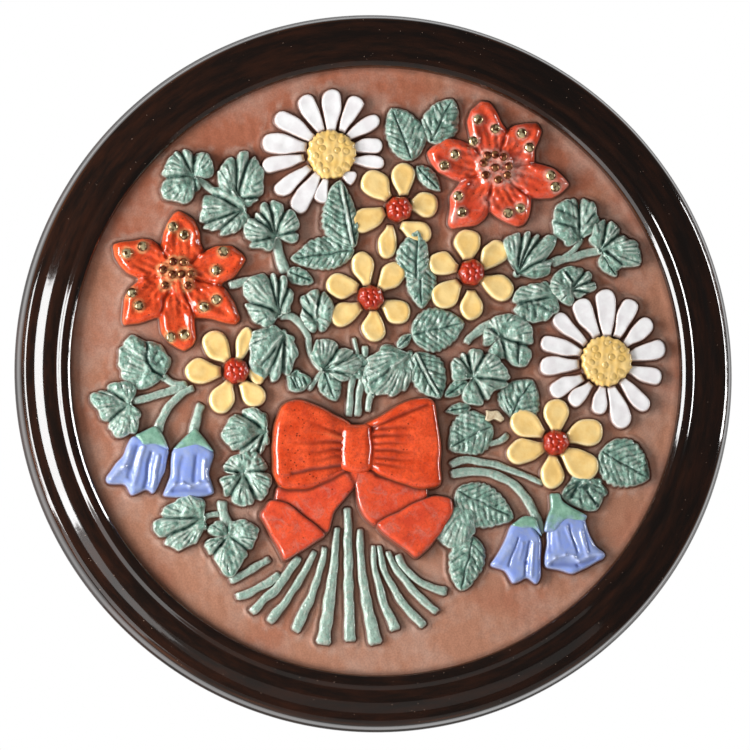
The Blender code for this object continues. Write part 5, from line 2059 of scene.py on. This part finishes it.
BELLS = (
    Bellflower("bellflower_far_left",
        Slab(Form((-132, -54), (
            (-139.6, -38.4), (-144, -49), (-154, -61.6), (-153.2, -65.6), (-143, -65.8),
            (-139.2, -73.2), (-131.2, -68.2), (-126.4, -71.8), (-120.4, -58), (-118, -46.4),
            (-128, -38))),
            RISE.bell, worn=0.7, corner=2.4, edge=3.2, creases=(
            Crease((-140.9, -45.7), (-143.7, -56.2), -1.1, 1.6),
            Crease((-143.7, -56.2), (-152, -63), -1.1, 1.8),
            Crease((-136.4, -45), (-141, -62), 0.7, 1.2),
            Crease((-133, -44.9), (-138.3, -66), -0.8, 1.3),
            Crease((-128, -48), (-132, -67), 1, 1.3),
            Crease((-124.2, -49.6), (-127.8, -68), -0.9, 0.9),
            Crease((-122.4, -50.6), (-125.4, -66), 0.5, 0.6))),
        Slab(Form((-126, -40), (
            (-138, -37.6), (-133.8, -44.8), (-125.8, -43.4), (-118, -47.4), (-121.6, -37.6),
            (-125.4, -32.6))),
            RISE.calyx, corner=2, edge=2.8, drip=4.2, inner=14)),
    Bellflower("bellflower_left",
        Slab(Form((-106, -60), (
            (-116.6, -46), (-117.6, -60), (-121.6, -72.6), (-107, -73.6), (-92, -71), (-95, -60),
            (-92.4, -47), (-104.6, -38))),
            RISE.bell, worn=0.7, corner=2.4, edge=3.6, creases=(
            Crease((-103, -50), (-103.6, -64), 0.8, 1.3),
            Crease((-110, -50), (-112.6, -64), 0.6, 1.6),
            Crease((-98, -52), (-98.4, -62.6), -0.9, 1.2),
            Crease((-120.4, -71), (-115.6, -65.6), -0.8, 1.2),
            *crease_chain(-0.9, 1.1, (-115.6, -65.6), (-110.6, -65.2), (-106.4, -67.4),
                (-101.4, -65), (-96, -65.8)),
            Crease((-96, -65.8), (-92.6, -70.6), -0.8, 1.1),
            Crease((-115.4, -69.4), (-96.6, -69), 0.9, 1.5))),
        Slab(Form((-104, -42), (
            (-116.8, -46.6), (-107, -44.8), (-102.4, -44.2), (-92.2, -47.8), (-96.8, -40),
            (-103, -33))),
            RISE.calyx, corner=2, edge=3, drip=4.8, inner=14)),
    Bellflower("bellflower_right",
        Slab(Form((84, -100), (
            (77, -86.6), (71.6, -100.4), (64.6, -110.8), (73.6, -113.6), (78.2, -121.8),
            (85.4, -116.6), (91.4, -121.8), (94, -118), (94.2, -94.6), (86.4, -84))),
            RISE.bell, worn=0.7, corner=2.4, edge=3, creases=(
            Crease((81, -95), (75.6, -110.8), 0.8, 0.8), Crease((83.4, -98), (81, -110), -0.6, 1, 1),
            *crease_chain(0.9, 0.8, (87.6, -97), (85.4, -109), (84.6, -117)),
            Crease((89.6, -98), (88.2, -117), -0.7, 0.9),
            Crease((76.4, -100), (69, -110.4), -0.5, 1.6))),
        Slab(Form((86, -86), (
            (76.4, -87.4), (84.2, -91), (90.2, -89.6), (95.4, -94.4), (91, -82.6), (85, -82))),
            RISE.calyx, corner=2, edge=2.8, drip=4.6, inner=14)),
    Bellflower("bellflower_far_right",
        Slab(Form((110, -98), (
            (97.4, -86), (97.6, -96.6), (96, -104), (96.2, -111.8), (104.6, -112.8),
            (112.2, -115.6), (118, -112.2), (130.6, -106.4), (131.2, -102.8), (125.4, -100),
            (121.4, -92), (118.8, -83.4), (106, -79))),
            RISE.bell, worn=0.7, corner=2.4, edge=3.2, creases=(
            Crease((110.4, -87.2), (114.6, -103), 0.8, 0.9),
            Crease((108.6, -88.6), (112.4, -101), -0.6, 0.9, 1),
            Crease((117, -91), (119.4, -103), -0.9, 1), Crease((119, -92), (121, -102), 0.6, 0.8),
            Crease((103, -92), (104.4, -103), -0.6, 1.2, 1),
            Crease((99.4, -90), (99, -102), 0.7, 1.2),
            *crease_chain(-0.9, 1.1, (97.6, -109.6), (101.6, -106), (107.4, -104.4),
                (112.4, -105.6), (115.6, -108)),
            *crease_chain(-0.8, 1.1, (115.6, -108), (120.4, -105), (129, -103.8)),
            Crease((101, -109.8), (115.4, -110), 1.1, 1.6),
            Crease((115.4, -110), (125, -106.6), 1, 1.2))),
        Slab(Form((103, -80), (
            (99, -68.8), (99.4, -78), (96.4, -86), (95.8, -91.2), (102.2, -91.6), (105.4, -86.8),
            (108.4, -83.4), (118.8, -86.2), (120.4, -82.4), (111, -77.2), (106.4, -73.6),
            (105.2, -69))),
            RISE.calyx, corner=1.6, edge=2, drip=5.5, inner=16)),
)

BOW = RibbonBow((
    ("bow_left_tail", THIN_RED_GLAZE, (
        Slab(Form((-34, -78), (
            (-57, -66), (-8, -54), (-11.2, -65.4), (-17.5, -73.5), (-24.5, -81.5), (-26.6, -92),
            (-31, -94.6), (-58, -75.5))),
            5.8, (0.03, 0.05), 2.6, 2.2, foot_pool_and_shade=0.8),
        Slab(Form((-50, -90), (
            (-60.6, -74), (-67.2, -82.8), (-62.2, -91), (-57.1, -101.1), (-52.4, -109.2),
            (-40.6, -102.4), (-28, -93.8), (-52, -75))),
            7.4, (0.02, 0.05), 3, 2.8, foot_pool_and_shade=0.8))),
    ("bow_right_tail", THIN_RED_GLAZE, (
        Slab(Form((3, -72), (
            (-18, -54), (30, -62), (29, -74), (0, -89.4), (-6.6, -85.6), (-9.6, -79.5),
            (-12.4, -66))),
            6, (-0.03, 0.05), 3, 2.4, foot_pool_and_shade=0.8, creases=(
            Crease((0.5, -60), (7, -62), 0.7, 1.4, 1),)),
        Slab(Form((24, -86), (
            (-1, -87.2), (27, -72.4), (35.3, -70.6), (43.4, -72.6), (44.6, -78.4), (38.8, -91),
            (32.1, -98.8), (22.8, -107.6), (14.3, -101.1), (4.1, -93.5))),
            7.8, (-0.03, 0.03), 3.2, 3.6, foot_pool_and_shade=0.8))),
    ("bow_left_loop", RED_GLAZE, (
        Slab(Form((-38, -44), (
            (-11.6, -31.4), (-25.4, -24.2), (-42.6, -16), (-53.6, -18.4), (-59.4, -34),
            (-59.4, -62), (-53, -69.2), (-38, -68.6), (-21.6, -60.4), (-11.6, -56))),
            8.6, (-0.02, 0), 6, 5, foot_pool_and_shade=0.8, creases=(
            Crease((-15, -38), (-40, -30), 0.8, 1.2, 1),
            Crease((-15, -41), (-50, -42.4), 0.9, 1.2, 1),
            Crease((-15, -39.5), (-36, -36), -0.5, 1.1, 1),
            Crease((-15, -45), (-46, -48), 0.8, 1.2, 1),
            Crease((-15, -48.5), (-40, -53), 0.7, 1.1, 1),
            Crease((-19, -54.6), (-48.4, -59.4), 1.5, 1.1)), folds=(
            Fold((-22, -70), (-22, -10), 2.2, 14),
            Fold((-19, -55.2), (-48.4, -60), -1.6, 1.8))),)),
    ("bow_right_loop", RED_GLAZE, (
        Slab(Form((16, -42), (
            (-9.6, -32), (4.4, -24), (16.6, -17), (27, -14.4), (33.6, -16.6), (37, -42),
            (36.8, -66.6), (25, -68), (4.4, -61.4), (-9.6, -54))),
            9, (0.02, 0), 5, 4.2, foot_pool_and_shade=0.8, creases=(
            Crease((-2.5, -34.5), (24, -31.4), 0.9, 1.1, 1),
            Crease((-0.9, -37.7), (22, -36.9), 1, 1, 1),
            Crease((-0.5, -41.6), (20, -42), 0.8, 0.9, 1),
            Crease((-0.1, -45.5), (24, -47.1), 1.1, 1, 1),
            Crease((-0.1, -50.3), (23.5, -51.8), 0.9, 0.9, 1),
            Crease((-0.1, -53.4), (21.1, -56.6), 0.8, 0.9, 1),
            Crease((-5, -34), (29.5, -19.5), 1.5, 1)), folds=(
            Fold((-1, -10), (-1, -70), 2.4, 6.5),
            Fold((29.5, -19.5), (-5, -34), 1, 2))),)),
    ("bow_knot", RED_GLAZE, (
        Slab(Form((-11.6, -44), (
            (-20.6, -30.6), (-22, -44), (-20.6, -57), (-11.6, -60.4), (-2.4, -57.6), (-0.8, -44),
            (-2.6, -30.2), (-11.6, -30.6))),
            RISE.knot + 0.2, (0, -0.03), 4, 6.5, inner=22),)),
))

CRUMB = Chip("kiln_crumb", CRUMB_GLAZE,
    Slab(Form((66.8, -25.4), (
        (61.6, -27.8), (62.6, -24.2), (62.4, -21.8), (65.6, -22.6), (69, -22.4), (73, -27.6),
        (71.4, -29.2), (67.4, -27), (64, -28.4))),
        6.4, corner=0.8, edge=0.9, inner=10))


def main() -> None:
    """Build the plaque and its setting in order, and report each piece."""
    logging.basicConfig(level=logging.INFO, format="%(message)s")
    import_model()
    low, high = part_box(NODE)
    radius = (high.x - low.x) / 2 / MM
    leaves = (UPPER_LEFT, MIDDLE_LEFT, MIDDLE_RIGHT, UPPER_RIGHT, LOWER_LEFT, LOWER_RIGHT)
    daisies = [DaisyHead(flower) for flower in DAISIES]
    yellows = [YellowFlower(flower) for flower in YELLOWS]
    reds = [RedFlower(form, glaze) for form, glaze in zip(REDS, (RED_GLAZE, THIN_RED_GLAZE))]
    outlines = []
    for part in (*leaves, TIED_STEMS, SPRAY_STEMS, *daisies, *yellows, *reds, *BELLS, BOW, CRUMB):
        outlines += part.build()
    ThrownRim(radius).build()
    TurnedBack(radius - RIM_OVERLAP).build()
    ClayField(radius - RIM_WIDTH).build(outlines)
    for piece in bpy.data.objects:
        if piece.type == "MESH" and piece.name != NODE:
            finish = piece.active_material.name
            LOG.info("%s: %d faces, %s", piece.name, len(piece.data.polygons), finish)
    Studio().build()


if __name__ == "__main__":
    main()
